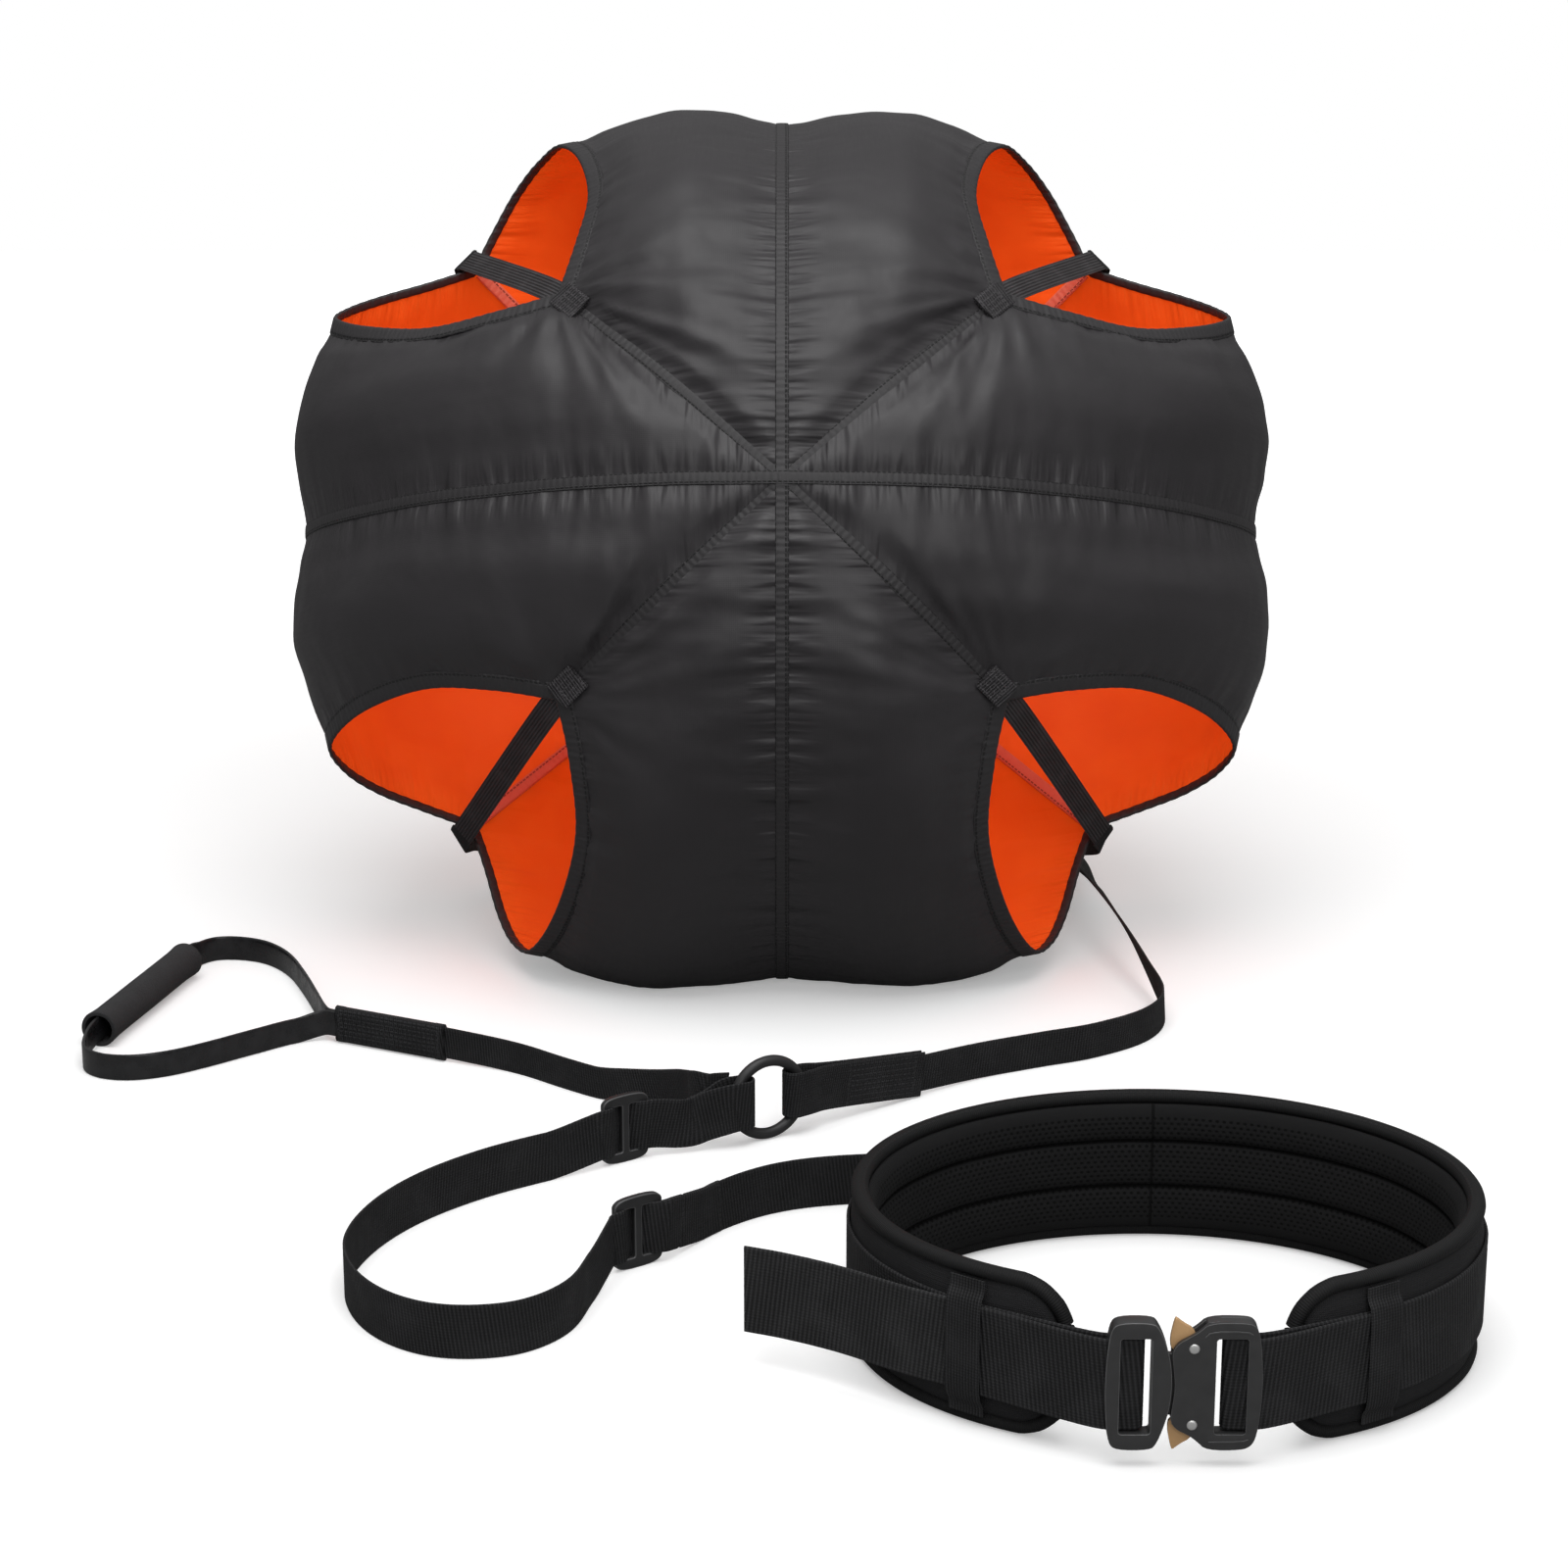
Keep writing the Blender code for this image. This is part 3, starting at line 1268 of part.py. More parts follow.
def tongue_outline():
    """Half a tongue with a latch notch, mirrored about the middle."""
    tall = tongue_height / 2
    start = rivet_inset + latch_notch
    half = [(0, tall), (start, tall), (start, tall - latch_depth),
            (start + latch_notch, tall - latch_depth), (start + latch_notch, tall),
            (tongue_length - latch_depth, tall), (tongue_length, tall - latch_depth)]
    return half + [(x, -z) for x, z in half[::-1]]


def mesh_cut(item, tool):
    """Turn a curve into a welded mesh and cut a tool out of it."""
    made = to_mesh_object(item)
    cut(made, tool)
    return made


def to_mesh_object(item):
    """Replace a curve object by its welded mesh."""
    bpy.context.view_layer.update()
    depsgraph = bpy.context.evaluated_depsgraph_get()
    mesh = bpy.data.meshes.new_from_object(item.evaluated_get(depsgraph))
    shape = bmesh.new()
    shape.from_mesh(mesh)
    bmesh.ops.remove_doubles(shape, verts=shape.verts, dist=seam_gap / 100)
    shape.to_mesh(mesh)
    shape.free()
    made = bpy.data.objects.new(item.name, mesh)
    parts.objects.link(made)
    made.matrix_world = item.matrix_world
    name = item.name
    bpy.data.objects.remove(item)
    made.name = name
    return made


def add_female_half():
    """Housing with a cavity for the tongue, two sprung levers on rivets, and its webbing pin."""
    seam = buckle_middle + Vector((buckle_shift(), 0, 0))
    place = seam + Vector((female_width / 2 + buckle_seam / 2, 0, 0))
    tall, wide = buckle_height / 2, female_width / 2
    slot_x = wide - slot_bar - slot_width / 2
    corner = slot_bar / 2
    shoulder = tall - corner_cut_height
    outline = [(-wide + corner_cut_width, -tall), (wide - corner, -tall), (wide, -tall + corner * 2),
               (wide, tall - corner * 2), (wide - corner, tall), (-wide + corner_cut_width, tall),
               (-wide, shoulder), (-wide, -shoulder)]
    housing = plate("buckle_female_body", [outline, rectangle(slot_width, slot_height, slot_x)],
                    buckle_thickness, plastic)
    upright(housing, place)
    housing = mesh_cut(housing, cutter("female_recess", (slot_bar * 3, buckle_thickness, slot_height),
                                       place + Vector((wide - slot_bar / 2, bar_depth, 0))))
    cavity = tongue_length + 2 * tongue_clear
    inner = tongue_thickness + 2 * tongue_clear
    reach = cavity - tongue_clear
    cut(housing, cutter("tongue_cavity", (2 * cavity, inner, buckle_height * 2),
                        seam + Vector((buckle_seam / 2 + reach - cavity, 0, 0))))
    add_levers(seam, housing)
    rod("buckle_female_pin", pin_radius, slot_height - 2 * seam_gap, pin_place(1), steel)


def lever_outline():
    """The top lever about its rivet: fin, bearing and hook."""
    bearing = rivet_radius + seam_gap + lever_wall
    edge = tongue_height / 2 - rivet_spread
    near = latch_notch + lever_clear
    far = near + latch_notch - 2 * lever_clear
    tip = buckle_height / 2 - rivet_spread + lever_fin
    left = rivet_inset - 4 * lever_clear
    return [(-left, -rivet_radius * 0.6), (-bearing * 0.8, -bearing), (bearing * 0.8, -bearing),
            (near, -bearing), (near, edge + latch_clear), (far, edge + latch_clear),
            (far, rivet_radius), (bearing, tip * 0.5), (-left + 2 * lever_clear, tip)]


def add_levers(seam, housing):
    """Bronze levers that turn about their rivets; the fins stand out at the housing's corners."""
    hole = rivet_radius + seam_gap
    half = buckle_thickness / 2
    top = half + seam_gap + rivet_head_height
    profile = [(0, top), (rivet_head * 0.8, top), (rivet_head, top - rivet_head_height * 0.5),
               (rivet_head, half + seam_gap), (rivet_radius, half + seam_gap)]
    profile += [(radius, -height) for radius, height in profile[::-1]]
    for hand, word in ((1, "top"), (-1, "bottom")):
        rivet = seam + Vector((buckle_seam / 2 + rivet_inset, 0, hand * rivet_spread))
        outline = [(x, hand * z) for x, z in lever_outline()][::hand]
        ring = [(hole * cos(a), hole * sin(a)) for a in np.linspace(0, 2 * pi, 12, endpoint=False)]
        upright(plate(f"release_lever_{word}", [outline, ring], lever_thickness, bronze), rivet)
        turned(f"rivet_{word}", profile, rivet, steel, Vector((0, 1, 0)))
        drill = rod(f"rivet_hole_{word}", hole, 2 * buckle_thickness, rivet, steel,
                    Vector((0, 1, 0)), 12)
        parts.objects.unlink(drill)
        cutters.objects.link(drill)
        drill.hide_render = True
        drill.display_type = 'WIRE'
        cut(housing, drill)


# Build

add_cloth()
add_seam_tapes()
add_bindings()
add_corner_straps()
add_bridle()
add_tow_strap()
add_ring()
add_tow_sleeve()
add_leash()
add_belt()
add_handle()
add_male_half()
add_female_half()

for item in [*parts.objects, *cutters.objects]:
    item.location = item.location - layout_middle
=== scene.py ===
# %% [markdown]
# # A running parachute, piece by piece
# A speed parachute is four fabric arms sewn into a cross, with an open mouth behind and a vent at each
# corner. A bridle gathers the corners, a tow strap leads to a steel ring, and a leash runs on to a padded
# waist belt. Everything is sewn webbing and cloth, so nearly every shape here is a strip or a sheet that
# follows a line. The measured solids are loaded first and every piece below is fitted to them.

# %% Load the measured model
from math import atan2, cos, hypot, pi, radians, sin, sqrt

import bmesh
import bpy
import numpy as np
from mathutils import Matrix, Vector, noise


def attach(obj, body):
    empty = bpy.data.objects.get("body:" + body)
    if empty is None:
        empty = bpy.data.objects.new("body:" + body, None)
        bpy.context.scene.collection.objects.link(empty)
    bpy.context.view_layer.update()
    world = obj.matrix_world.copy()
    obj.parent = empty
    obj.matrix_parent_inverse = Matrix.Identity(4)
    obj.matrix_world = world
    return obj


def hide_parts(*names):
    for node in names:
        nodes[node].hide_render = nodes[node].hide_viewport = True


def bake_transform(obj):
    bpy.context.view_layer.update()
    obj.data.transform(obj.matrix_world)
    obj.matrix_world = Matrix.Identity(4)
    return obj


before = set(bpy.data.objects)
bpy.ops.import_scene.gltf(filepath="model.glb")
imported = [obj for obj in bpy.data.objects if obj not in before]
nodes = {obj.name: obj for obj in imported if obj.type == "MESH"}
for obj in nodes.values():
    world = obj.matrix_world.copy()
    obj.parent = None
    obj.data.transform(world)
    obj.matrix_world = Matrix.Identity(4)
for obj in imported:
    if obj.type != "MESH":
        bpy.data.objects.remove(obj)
mm = 0.001
up = Vector((0, 0, 1))
home = Vector((0.0456, 0.20675, 0))     # the layout was drawn from another spot, this far away
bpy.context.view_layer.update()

# %% [markdown]
# ## Camera
# The photograph looks down on the layout at about 16 degrees through a longish lens, from more than two
# metres away. A long lens keeps the near belt from looking too large beside the canopy.

# %% Camera
eye = bpy.data.cameras.new("studio_camera")
eye.lens = 79.875
eye.sensor_width = 36
camera = bpy.data.objects.new("studio_camera", eye)
bpy.context.scene.collection.objects.link(camera)
camera.location = home + Vector((0, -2.322, 0.828))
camera.rotation_euler = (radians(90 - 16.4), 0, 0)
bpy.context.scene.camera = camera
bpy.context.scene.view_settings.view_transform = 'Standard'


# %% [markdown]
# ## Shader maths written as Python
# A weave or a stitch is a formula of the place on the cloth. Wiring every sum by hand hides the formula,
# so one small class wraps a socket: adding, multiplying or comparing two of them adds the Math node. A
# second class makes the nodes of a tree, and a third, built on it, makes the materials.

# %% Shader tools
class Signal:
    """A shader socket that takes part in ordinary sums."""

    def __init__(self, paint, socket):
        self.paint = paint
        self.socket = socket

    def maths(self, kind, *others):
        return self.paint.node("ShaderNodeMath", {"operation": kind}, dict(enumerate((self, *others))))

    def output(self, key):
        """Another output of the same node."""
        return Signal(self.paint, self.socket.node.outputs[key])

    def __add__(self, other):
        return self.maths("ADD", other)

    def __mul__(self, other):
        return self.maths("MULTIPLY", other)

    def __sub__(self, other):
        return self.maths("SUBTRACT", other)

    def __rsub__(self, other):
        return self.paint.node("ShaderNodeMath", {"operation": "SUBTRACT"}, {0: other, 1: self})

    def __truediv__(self, other):
        return self.maths("DIVIDE", other)

    def __mod__(self, other):
        return self.maths("FLOORED_MODULO", other)

    def __gt__(self, other):
        return self.maths("GREATER_THAN", other)

    def __lt__(self, other):
        return self.maths("LESS_THAN", other)

    def __abs__(self):
        return self.maths("ABSOLUTE")

    __radd__ = __add__
    __rmul__ = __mul__

    def wave(self, pitch):
        """A smooth ridge from 0 to 1 that repeats every pitch."""
        return (self * (2 * pi / pitch)).maths("COSINE") * 0.5 + 0.5

    def soft(self, low, high):
        """0 below low, 1 above high and smooth between."""
        return self.paint.node("ShaderNodeMapRange", {"interpolation_type": "SMOOTHSTEP"},
                               {0: self, 1: low, 2: high})


class Wiring:
    """A node tree whose nodes are made one call at a time."""

    def __init__(self, tree):
        self.tree = tree

    def node(self, kind, settings=(), values=()):
        made = self.tree.nodes.new(kind)
        for key, value in dict(settings).items():
            setattr(made, key, value)
        for key, value in dict(values).items():
            self.feed(made.inputs[key], value)
        return Signal(self, made.outputs[0])

    def feed(self, socket, value):
        if isinstance(value, Signal):
            self.tree.links.new(value.socket, socket)
        else:
            socket.default_value = value

    def split(self, vector):
        """The three numbers of a vector."""
        first = self.node("ShaderNodeSeparateXYZ", {}, {0: vector})
        return [first.output(axis) for axis in range(3)]


class Paint(Wiring):
    """A material, with the slot of the part's materials that it stands for."""

    def __init__(self, name, colour, roughness, slot=None, metallic=0.0, shine=0.5):
        self.material = bpy.data.materials.new(name)
        self.material.use_nodes = True
        super().__init__(self.material.node_tree)
        self.surface = self.tree.nodes["Principled BSDF"]
        self.slot = slot
        self.set("Base Color", (*colour, 1))
        self.set("Roughness", roughness)
        self.set("Metallic", metallic)
        self.set("Specular IOR Level", shine)

    def set(self, name, value):
        self.feed(self.surface.inputs[name], value)

    def places(self):
        """The place on the piece."""
        return self.node("ShaderNodeTexCoord").output("Object")

    def cloth(self):
        """The place on the flat cloth: the vector, then its three numbers."""
        vector = self.node("ShaderNodeAttribute", {"attribute_name": "cloth"}).output("Vector")
        return vector, *self.split(vector)

    def cloud(self, vector, size, detail=3.0, stretch=(1, 1, 1)):
        """Soft noise from about 0 to 1 with features of a given size."""
        scaled = self.node("ShaderNodeVectorMath", {"operation": "MULTIPLY"},
                           {0: vector, 1: tuple(share / size for share in stretch)})
        return self.node("ShaderNodeTexNoise", {}, {"Vector": scaled, "Scale": 1.0, "Detail": detail})

    def blend(self, factor, first, second):
        """One colour over another."""
        low, high = (tone if isinstance(tone, Signal) else (*tone, 1) for tone in (first, second))
        return self.node("ShaderNodeMix", {"data_type": 'RGBA'}, {0: factor, 6: low, 7: high}).output(2)

    def relief(self, height, depth, below=None):
        """Bump of a real depth from a height of 0 to 1."""
        values = {"Height": height, "Distance": depth}
        if below is not None:
            values["Normal"] = below
        made = self.node("ShaderNodeBump", {}, values)
        self.set("Normal", made)
        return made

    def finish(self, tone, dark, light, roughness, height, depth, below=None):
        """Colour between two shades, roughness and bump at once."""
        self.set("Base Color", self.blend(tone, dark, light))
        self.set("Roughness", roughness)
        self.relief(height, depth, below)


# %% [markdown]
# ## Sheets, straps and finished pieces
# Cloth is a grid of points laid over a surface. Each point also keeps its place on the flat cloth, in
# metres, in an attribute called cloth: the weave and the stitches follow that and so turn with the strap.
# A strap is the same grid closed into a flat tube with rounded selvedges.

# %% Mesh tools
def woven(rows, marks, ring=False):
    """A sheet through rows of points; a ring joins each row's last point to its first."""
    rows, marks = np.asarray(rows, dtype=float), np.asarray(marks, dtype=float)
    if ring:
        rows = np.concatenate([rows, rows[:, :1]], axis=1)
        marks = np.concatenate([marks, marks[:, :1]], axis=1)
    many, wide = rows.shape[:2]
    shape = bmesh.new()
    cloth = shape.verts.layers.float_vector.new("cloth")
    bmesh.ops.create_grid(shape, x_segments=many - 1, y_segments=wide - 1, size=1)
    for vert in shape.verts:
        row = round((vert.co.x + 1) / 2 * (many - 1))
        column = round((vert.co.y + 1) / 2 * (wide - 1))
        vert[cloth] = marks[row, column]
        vert.co = rows[row, column]
    return shape


def joined(shapes):
    """Several bmesh shapes as one."""
    whole = shapes[0]
    for shape in shapes[1:]:
        spare = bpy.data.meshes.new("spare")
        shape.to_mesh(spare)
        shape.free()
        whole.from_mesh(spare)
        bpy.data.meshes.remove(spare)
    return whole


def placed(shape, move, *turns):
    """Turn a shape about its origin, then move it."""
    for turn in turns:
        bmesh.ops.rotate(shape, cent=(0, 0, 0), verts=shape.verts, matrix=turn)
    bmesh.ops.translate(shape, vec=move, verts=shape.verts)
    return shape


def turned(profile, steps, closed=False):
    """A profile of (radius, height) pairs turned round the upright axis."""
    shape = bmesh.new()
    verts = [shape.verts.new((radius, 0, height)) for radius, height in profile]
    pairs = zip(verts, verts[1:] + verts[:1]) if closed else zip(verts, verts[1:])
    edges = [shape.edges.new(pair) for pair in pairs]
    bmesh.ops.spin(shape, geom=verts + edges, cent=(0, 0, 0), axis=(0, 0, 1), angle=2 * pi, steps=steps,
                   use_merge=True)
    return shape


def piece(name, shape, paints, body, stands_for=(), smooth=40, close=False, turn=True):
    """Finish a piece: merge, close, turn it outward, move it home and hang it on the body that carries it. A
    piece given two bodies and two places is left where it stands: the two bodies are not used."""
    name += "_soft" if name in nodes else ""
    bmesh.ops.remove_doubles(shape, verts=shape.verts, dist=0.005 * mm)
    if close:
        bmesh.ops.holes_fill(shape, edges=[edge for edge in shape.edges if edge.is_boundary], sides=0)
    if turn:
        bmesh.ops.recalc_face_normals(shape, faces=shape.faces)
    bmesh.ops.translate(shape, vec=home, verts=shape.verts)
    mesh = bpy.data.meshes.new(name)
    shape.to_mesh(mesh)
    shape.free()
    mesh.shade_smooth()
    mesh.set_sharp_from_angle(angle=radians(smooth))
    made = bpy.data.objects.new(name, mesh)
    bpy.context.scene.collection.objects.link(made)
    for paint in paints:
        mesh.materials.append(paint.material)
    if isinstance(body, tuple):
        first, second, start, end = body
        tuple(home + start)
        tuple(home + end)
        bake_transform(made)
    else:
        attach(made, body)
    if stands_for:
        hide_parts(*stands_for)
    print(name, "faces", len(mesh.polygons))
    return made


def strap_outline(width, thickness):
    """One cross section of a strap: flat faces and rounded selvedges, as (across, off) pairs."""
    half, rise = width / 2, thickness / 2
    corner = [(half - 2.4 * rise, rise), (half - rise, rise), (half - 0.3 * rise, 0.7 * rise), (half, 0)]
    right = corner + [(x, -y) for x, y in corner[-2::-1]]
    return right + [(-x, -y) for x, y in right]


def eased(path, rounds=3):
    """Cut the corners of a path again and again, which leaves a smooth curve inside its bends."""
    points = np.array(path, dtype=float)
    for _ in range(rounds):
        near = points[:-1] * 0.75 + points[1:] * 0.25
        far = points[:-1] * 0.25 + points[1:] * 0.75
        points = np.concatenate([points[:1], np.stack([near, far], 1).reshape(-1, points.shape[1])[1:-1],
                                 points[-1:]])
    return points


def gone_along(points):
    """Distance along a line of points from its first one to each."""
    return np.concatenate([[0], np.cumsum(np.linalg.norm(np.diff(points, axis=0), axis=1))])


def spaced(points, step):
    """The same line with evenly spaced points."""
    gone = gone_along(points[:, :3])
    many = max(int(gone[-1] / step), 4)
    at = np.linspace(0, gone[-1], many + 1)
    return np.stack([np.interp(at, gone, column) for column in points.T], 1), at


def strap_rings(path, width, thickness, swell=None):
    """Rings of a strap along a path of x, y, z and lean; a swell changes its thickness and width."""
    points, gone = path
    rings, marks, centres = [], [], []
    for index, (x, y, z, tip) in enumerate(points):
        before, after = points[max(index - 1, 0)], points[min(index + 1, len(points) - 1)]
        course = Vector((after - before)[:3]).normalized()
        side = course.cross(up).normalized()
        rise = side.cross(course).normalized()
        half = (rise * cos(tip) + side * sin(tip)).normalized()
        flat = course.cross(half).normalized()
        thick, wide = (1, 1) if swell is None else swell(gone[index])
        low = abs(half.z) * width * wide / 2 + abs(flat.z) * thickness * thick / 2
        middle = Vector((x, y, max(z, low)))
        outline = strap_outline(width * wide, thickness * thick)
        rings.append([middle + half * across + flat * off for across, off in outline])
        marks.append([(gone[index], across, off) for across, off in outline])
        centres.append(middle + home)
    return rings, marks, centres


def strap(name, path, width, thickness, paint, body, stands_for, step=2.5 * mm, swell=None):
    """A finished strap and the line that it follows."""
    path = np.array([[*point[:3], point[3] if len(point) > 3 else 0.0] for point in path])
    rings, marks, centres = strap_rings(spaced(eased(path), step), width, thickness, swell)
    made = piece(name, woven(rings, marks, ring=True), [paint], body, stands_for, close=True)
    return made, centres


# %% [markdown]
# ## Routes
# The straps lie where the measured solids lie, so their routes repeat the same points. A route is drawn
# through a few given places with a smooth curve. Its fourth number, where it has one, is the lean:
# how far the strap has rolled from standing on its edge, 0, to lying flat, a right angle.

# %% Route tools
seam_gap = 0.35 * mm
curve_steps = 24


def through(points):
    """A smooth curve through given points."""
    points = [np.array(point, dtype=float) for point in points]
    ends = [2 * points[0] - points[1], *points, 2 * points[-1] - points[-2]]
    dense = []
    for before, start, stop, after in zip(ends, ends[1:], ends[2:], ends[3:]):
        pull = np.linalg.norm(stop[:3] - start[:3])
        slope_in = (stop - before) * pull / max(np.linalg.norm((stop - before)[:3]), mm)
        slope_out = (after - start) * pull / max(np.linalg.norm((after - start)[:3]), mm)
        for step in range(curve_steps):
            t = step / curve_steps
            dense.append(start * (2 * t**3 - 3 * t**2 + 1) + slope_in * (t**3 - 2 * t**2 + t)
                         + stop * (3 * t**2 - 2 * t**3) + slope_out * (t**3 - t**2))
    dense.append(points[-1])
    return dense


def run_through(route, square_start=False, square_end=False):
    """A path through route points; a square end keeps its last stretch straight."""
    dense = through(route)
    if square_start:
        dense = [dense[0]] + dense[curve_steps:]
    if square_end:
        dense = dense[:-curve_steps] + [dense[-1]]
    return dense[:1] + dense[1:-1:3] + dense[-1:]


def over(spot, height, *lean):
    """A route point at a height over a place on the floor."""
    return np.array([spot[0], spot[1], height, *lean])


def listed(table, height=None):
    """Route points from a table in millimetres, at their own heights or all at one."""
    rows = [np.array(row) * mm for row in table]
    return rows if height is None else [over(row, height) for row in rows]


def plan(heading, along, aside=0.0):
    """A step on the floor: along a heading, and aside to its left."""
    return Vector((cos(heading) * along - sin(heading) * aside,
                   sin(heading) * along + cos(heading) * aside, 0))


def lean_toward(course, wanted):
    """The lean that turns a strap's width toward a wanted direction."""
    side = course.cross(up).normalized()
    rise = side.cross(course).normalized()
    return atan2(wanted.dot(side), wanted.dot(rise))


# %% [markdown]
# ## The shape of the canopy
# Each arm is described by stations from the apex, 0, over the front pinch, 2, and the tip, 4, to the back
# pinch, 6, and the mouth, 7. Tables give the middle line and the edge line as shares of the whole size,
# and a parabola across the arm joins them. Working on whole arrays keeps thousands of points quick.

# %% Canopy surface
canopy_reach = 323 * mm
canopy_depth = 374 * mm
canopy_wide_share = 1.043
canopy_high_share = 0.955
canopy_lean = radians(22)
apex_place = Vector((-1.3 * mm, -90 * mm, 379.5 * mm))
seam_puff = 8 * mm
cloth_low = 0.7 * mm + seam_gap     # the cloth's middle stays this far above the floor
middle_shares = [(0, 0), (0.228, 0.015), (0.468, 0.082), (0.774, 0.253), (1.0, 0.542),
                 (0.925, 0.807), (0.696, 0.952), (0.460, 1.0)]
front_seam_shares = [(0, 0, 0), (0.223, 0.223, 0.043), (0.446, 0.446, 0.176)]
lip_shares = [(0.446, 0.446, 0.176), (0.579, 0.418, 0.222), (0.724, 0.404, 0.301),
              (0.866, 0.440, 0.414), (0.947, 0.496, 0.542), (0.930, 0.546, 0.631),
              (0.864, 0.591, 0.687), (0.769, 0.630, 0.713), (0.669, 0.669, 0.723)]
back_seam_shares = [(0.669, 0.669, 0.723), (0.326, 0.326, 0.928)]
width_shares = [0, 0.223, 0.454, 0.490, 0.507, 0.546, 0.599, 0.326]
puff_shares = [0, 0.25, 0.7, 1.0, 1.0, 1.0, 0.6, 0]
front_pinch, back_pinch, mouth_rim = 2, 6, 7
arms = {"right": (1, 0), "top": (0, 1), "left": (-1, 0), "bottom": (0, -1)}
arm_reach_shares = {"right": 1.0, "top": 0.955, "left": 1.0, "bottom": 1.02}
arm_width_shares = {"right": 1.0, "top": 0.96, "left": 1.0, "bottom": 1.05}
corners = {"upper_right": ("right", 1, "top", 1), "upper_left": ("top", -1, "left", 1),
           "lower_left": ("left", -1, "bottom", -1), "lower_right": ("bottom", 1, "right", -1)}
across_way = np.array((1, 0, 0))
upward = np.array((0, sin(canopy_lean), cos(canopy_lean)))
backward = np.array((0, cos(canopy_lean), -sin(canopy_lean)))
canopy_heart = np.array(apex_place) + backward * canopy_depth * 0.5


def read_shares(shares, station):
    """Smooth readings of a table of shares whose rows are one station apart."""
    table = np.array(shares, dtype=float).reshape(len(shares), -1)
    last = len(table) - 1
    station = np.clip(np.asarray(station, dtype=float), 0, last)
    index = np.minimum(station.astype(int), last - 1)
    t = (station - index)[..., None]
    ends = np.vstack([2 * table[0] - table[1], table, 2 * table[-1] - table[-2]])
    a, b, c, d = (ends[index + step] for step in range(4))
    return (2 * b + (c - a) * t + (2 * a - 5 * b + 4 * c - d) * t**2 + (3 * b - a - 3 * c + d) * t**3) / 2


def edge_line(station):
    """Reach, half width and depth shares along an arm's edge: front seam, vent lip, back seam."""
    front = read_shares(front_seam_shares, station)
    lip = read_shares(lip_shares, (station - front_pinch) * 2)
    back = read_shares(back_seam_shares, station - back_pinch)
    chosen = np.where((station <= back_pinch)[..., None], lip, back)
    return np.where((station <= front_pinch)[..., None], front, chosen)


def half_width(station):
    """Half the width of an arm at a station."""
    return read_shares(width_shares, station)[..., 0] * canopy_reach


def cloth_points(arm, station, side):
    """Points of the cloth: side runs from -1 to 1 across the arm."""
    station, side = np.broadcast_arrays(np.asarray(station, dtype=float), np.asarray(side, dtype=float))
    dx, dy = arms[arm]
    reach, depth = np.moveaxis(read_shares(middle_shares, station), -1, 0)
    edge_reach, edge_width, edge_depth = np.moveaxis(edge_line(station), -1, 0)
    swell = np.clip((station - front_pinch) / 2, 0, 1) * np.clip((back_pinch - station) / 2, 0, 1)
    swell = swell * swell * (3 - 2 * swell)
    blend = side * side
    change = read_shares(middle_shares, station + 0.1) - read_shares(middle_shares, station - 0.1)
    run, sink = change[..., 0] * canopy_reach, change[..., 1] * canopy_depth
    steep = np.maximum(np.hypot(run, sink), 0.01 * mm)
    puff = read_shares(puff_shares, station)[..., 0] * seam_puff * np.sin(pi * np.abs(side))**2 / steep
    rho = (reach + (edge_reach - reach) * blend) * (1 + (arm_reach_shares[arm] - 1) * swell)
    rho = rho * canopy_reach + puff * sink
    wide = read_shares(width_shares, station)[..., 0] * (1 - blend) + edge_width * blend
    wide = side * wide * (1 + (arm_width_shares[arm] - 1) * swell) * canopy_reach
    sunk = (depth + (edge_depth - depth) * blend) * canopy_depth - puff * run
    x, y = (rho * dx, wide) if dx else (wide, rho * dy)
    place = np.array(apex_place) + across_way * (x * canopy_wide_share)[..., None]
    place = place + upward * (y * canopy_high_share)[..., None] + backward * sunk[..., None]
    place[..., 2] = np.maximum(place[..., 2], cloth_low)
    return place


def cloth_normals(arm, station, side, step=0.02):
    """Outward directions of the cloth."""
    station, side = np.asarray(station, dtype=float), np.asarray(side, dtype=float)
    along = cloth_points(arm, station + step, side) - cloth_points(arm, station - step, side)
    cross = cloth_points(arm, station, side + step) - cloth_points(arm, station, side - step)
    normal = np.cross(along, cross)
    normal /= np.maximum(np.linalg.norm(normal, axis=-1, keepdims=True), 1e-12)
    outward = cloth_points(arm, station, side) - canopy_heart
    return normal * np.sign(np.sum(normal * outward, axis=-1, keepdims=True))


station_table = np.linspace(0, 7, 281)
middle_line = cloth_points("right", station_table, 0.0)
middle_gone = gone_along(middle_line)
print("length of an arm's middle seam", round(middle_gone[-1], 3))


def gone_at(station):
    """Distance from the apex along the cloth."""
    return np.interp(station, station_table, middle_gone)


def cloth_spot(arm, station, side):
    """One point of the cloth as a vector."""
    return Vector(cloth_points(arm, station, side))


def corner_frame(corner):
    """Front and back pinch points, and the corner's outward, along and side directions."""
    first, hand = corners[corner][:2]
    front, back = cloth_spot(first, front_pinch, hand), cloth_spot(first, back_pinch, hand)
    along = (back - front).normalized()
    centre = apex_place + Vector(backward) * (front - apex_place).dot(Vector(backward))
    outward = front - centre
    outward = (outward - along * outward.dot(along)).normalized()
    return front, back, along, outward, along.cross(outward)


# %% [markdown]
# ## Webbing
# Webbing is woven flat, so light catches a row of small ridges across the strap and a denser selvedge on
# each side. The ridges repeat about every two millimetres. They are a bump that reads the distance along
# the strap, and the same ridges are also painted paler with darker grooves between: a painted highlight on
# each ridge and painted shade in each groove. A slow noise makes a few stretches paler, where the webbing
# has rubbed. Rows of stitches are dashes along or across it, a little paler and prouder than the weave.

# %% Webbing finishes
def dashes(place, pitch=3.6 * mm, length=2.5 * mm):
    """1 on each stitch of a row and 0 between two."""
    return place % pitch < length


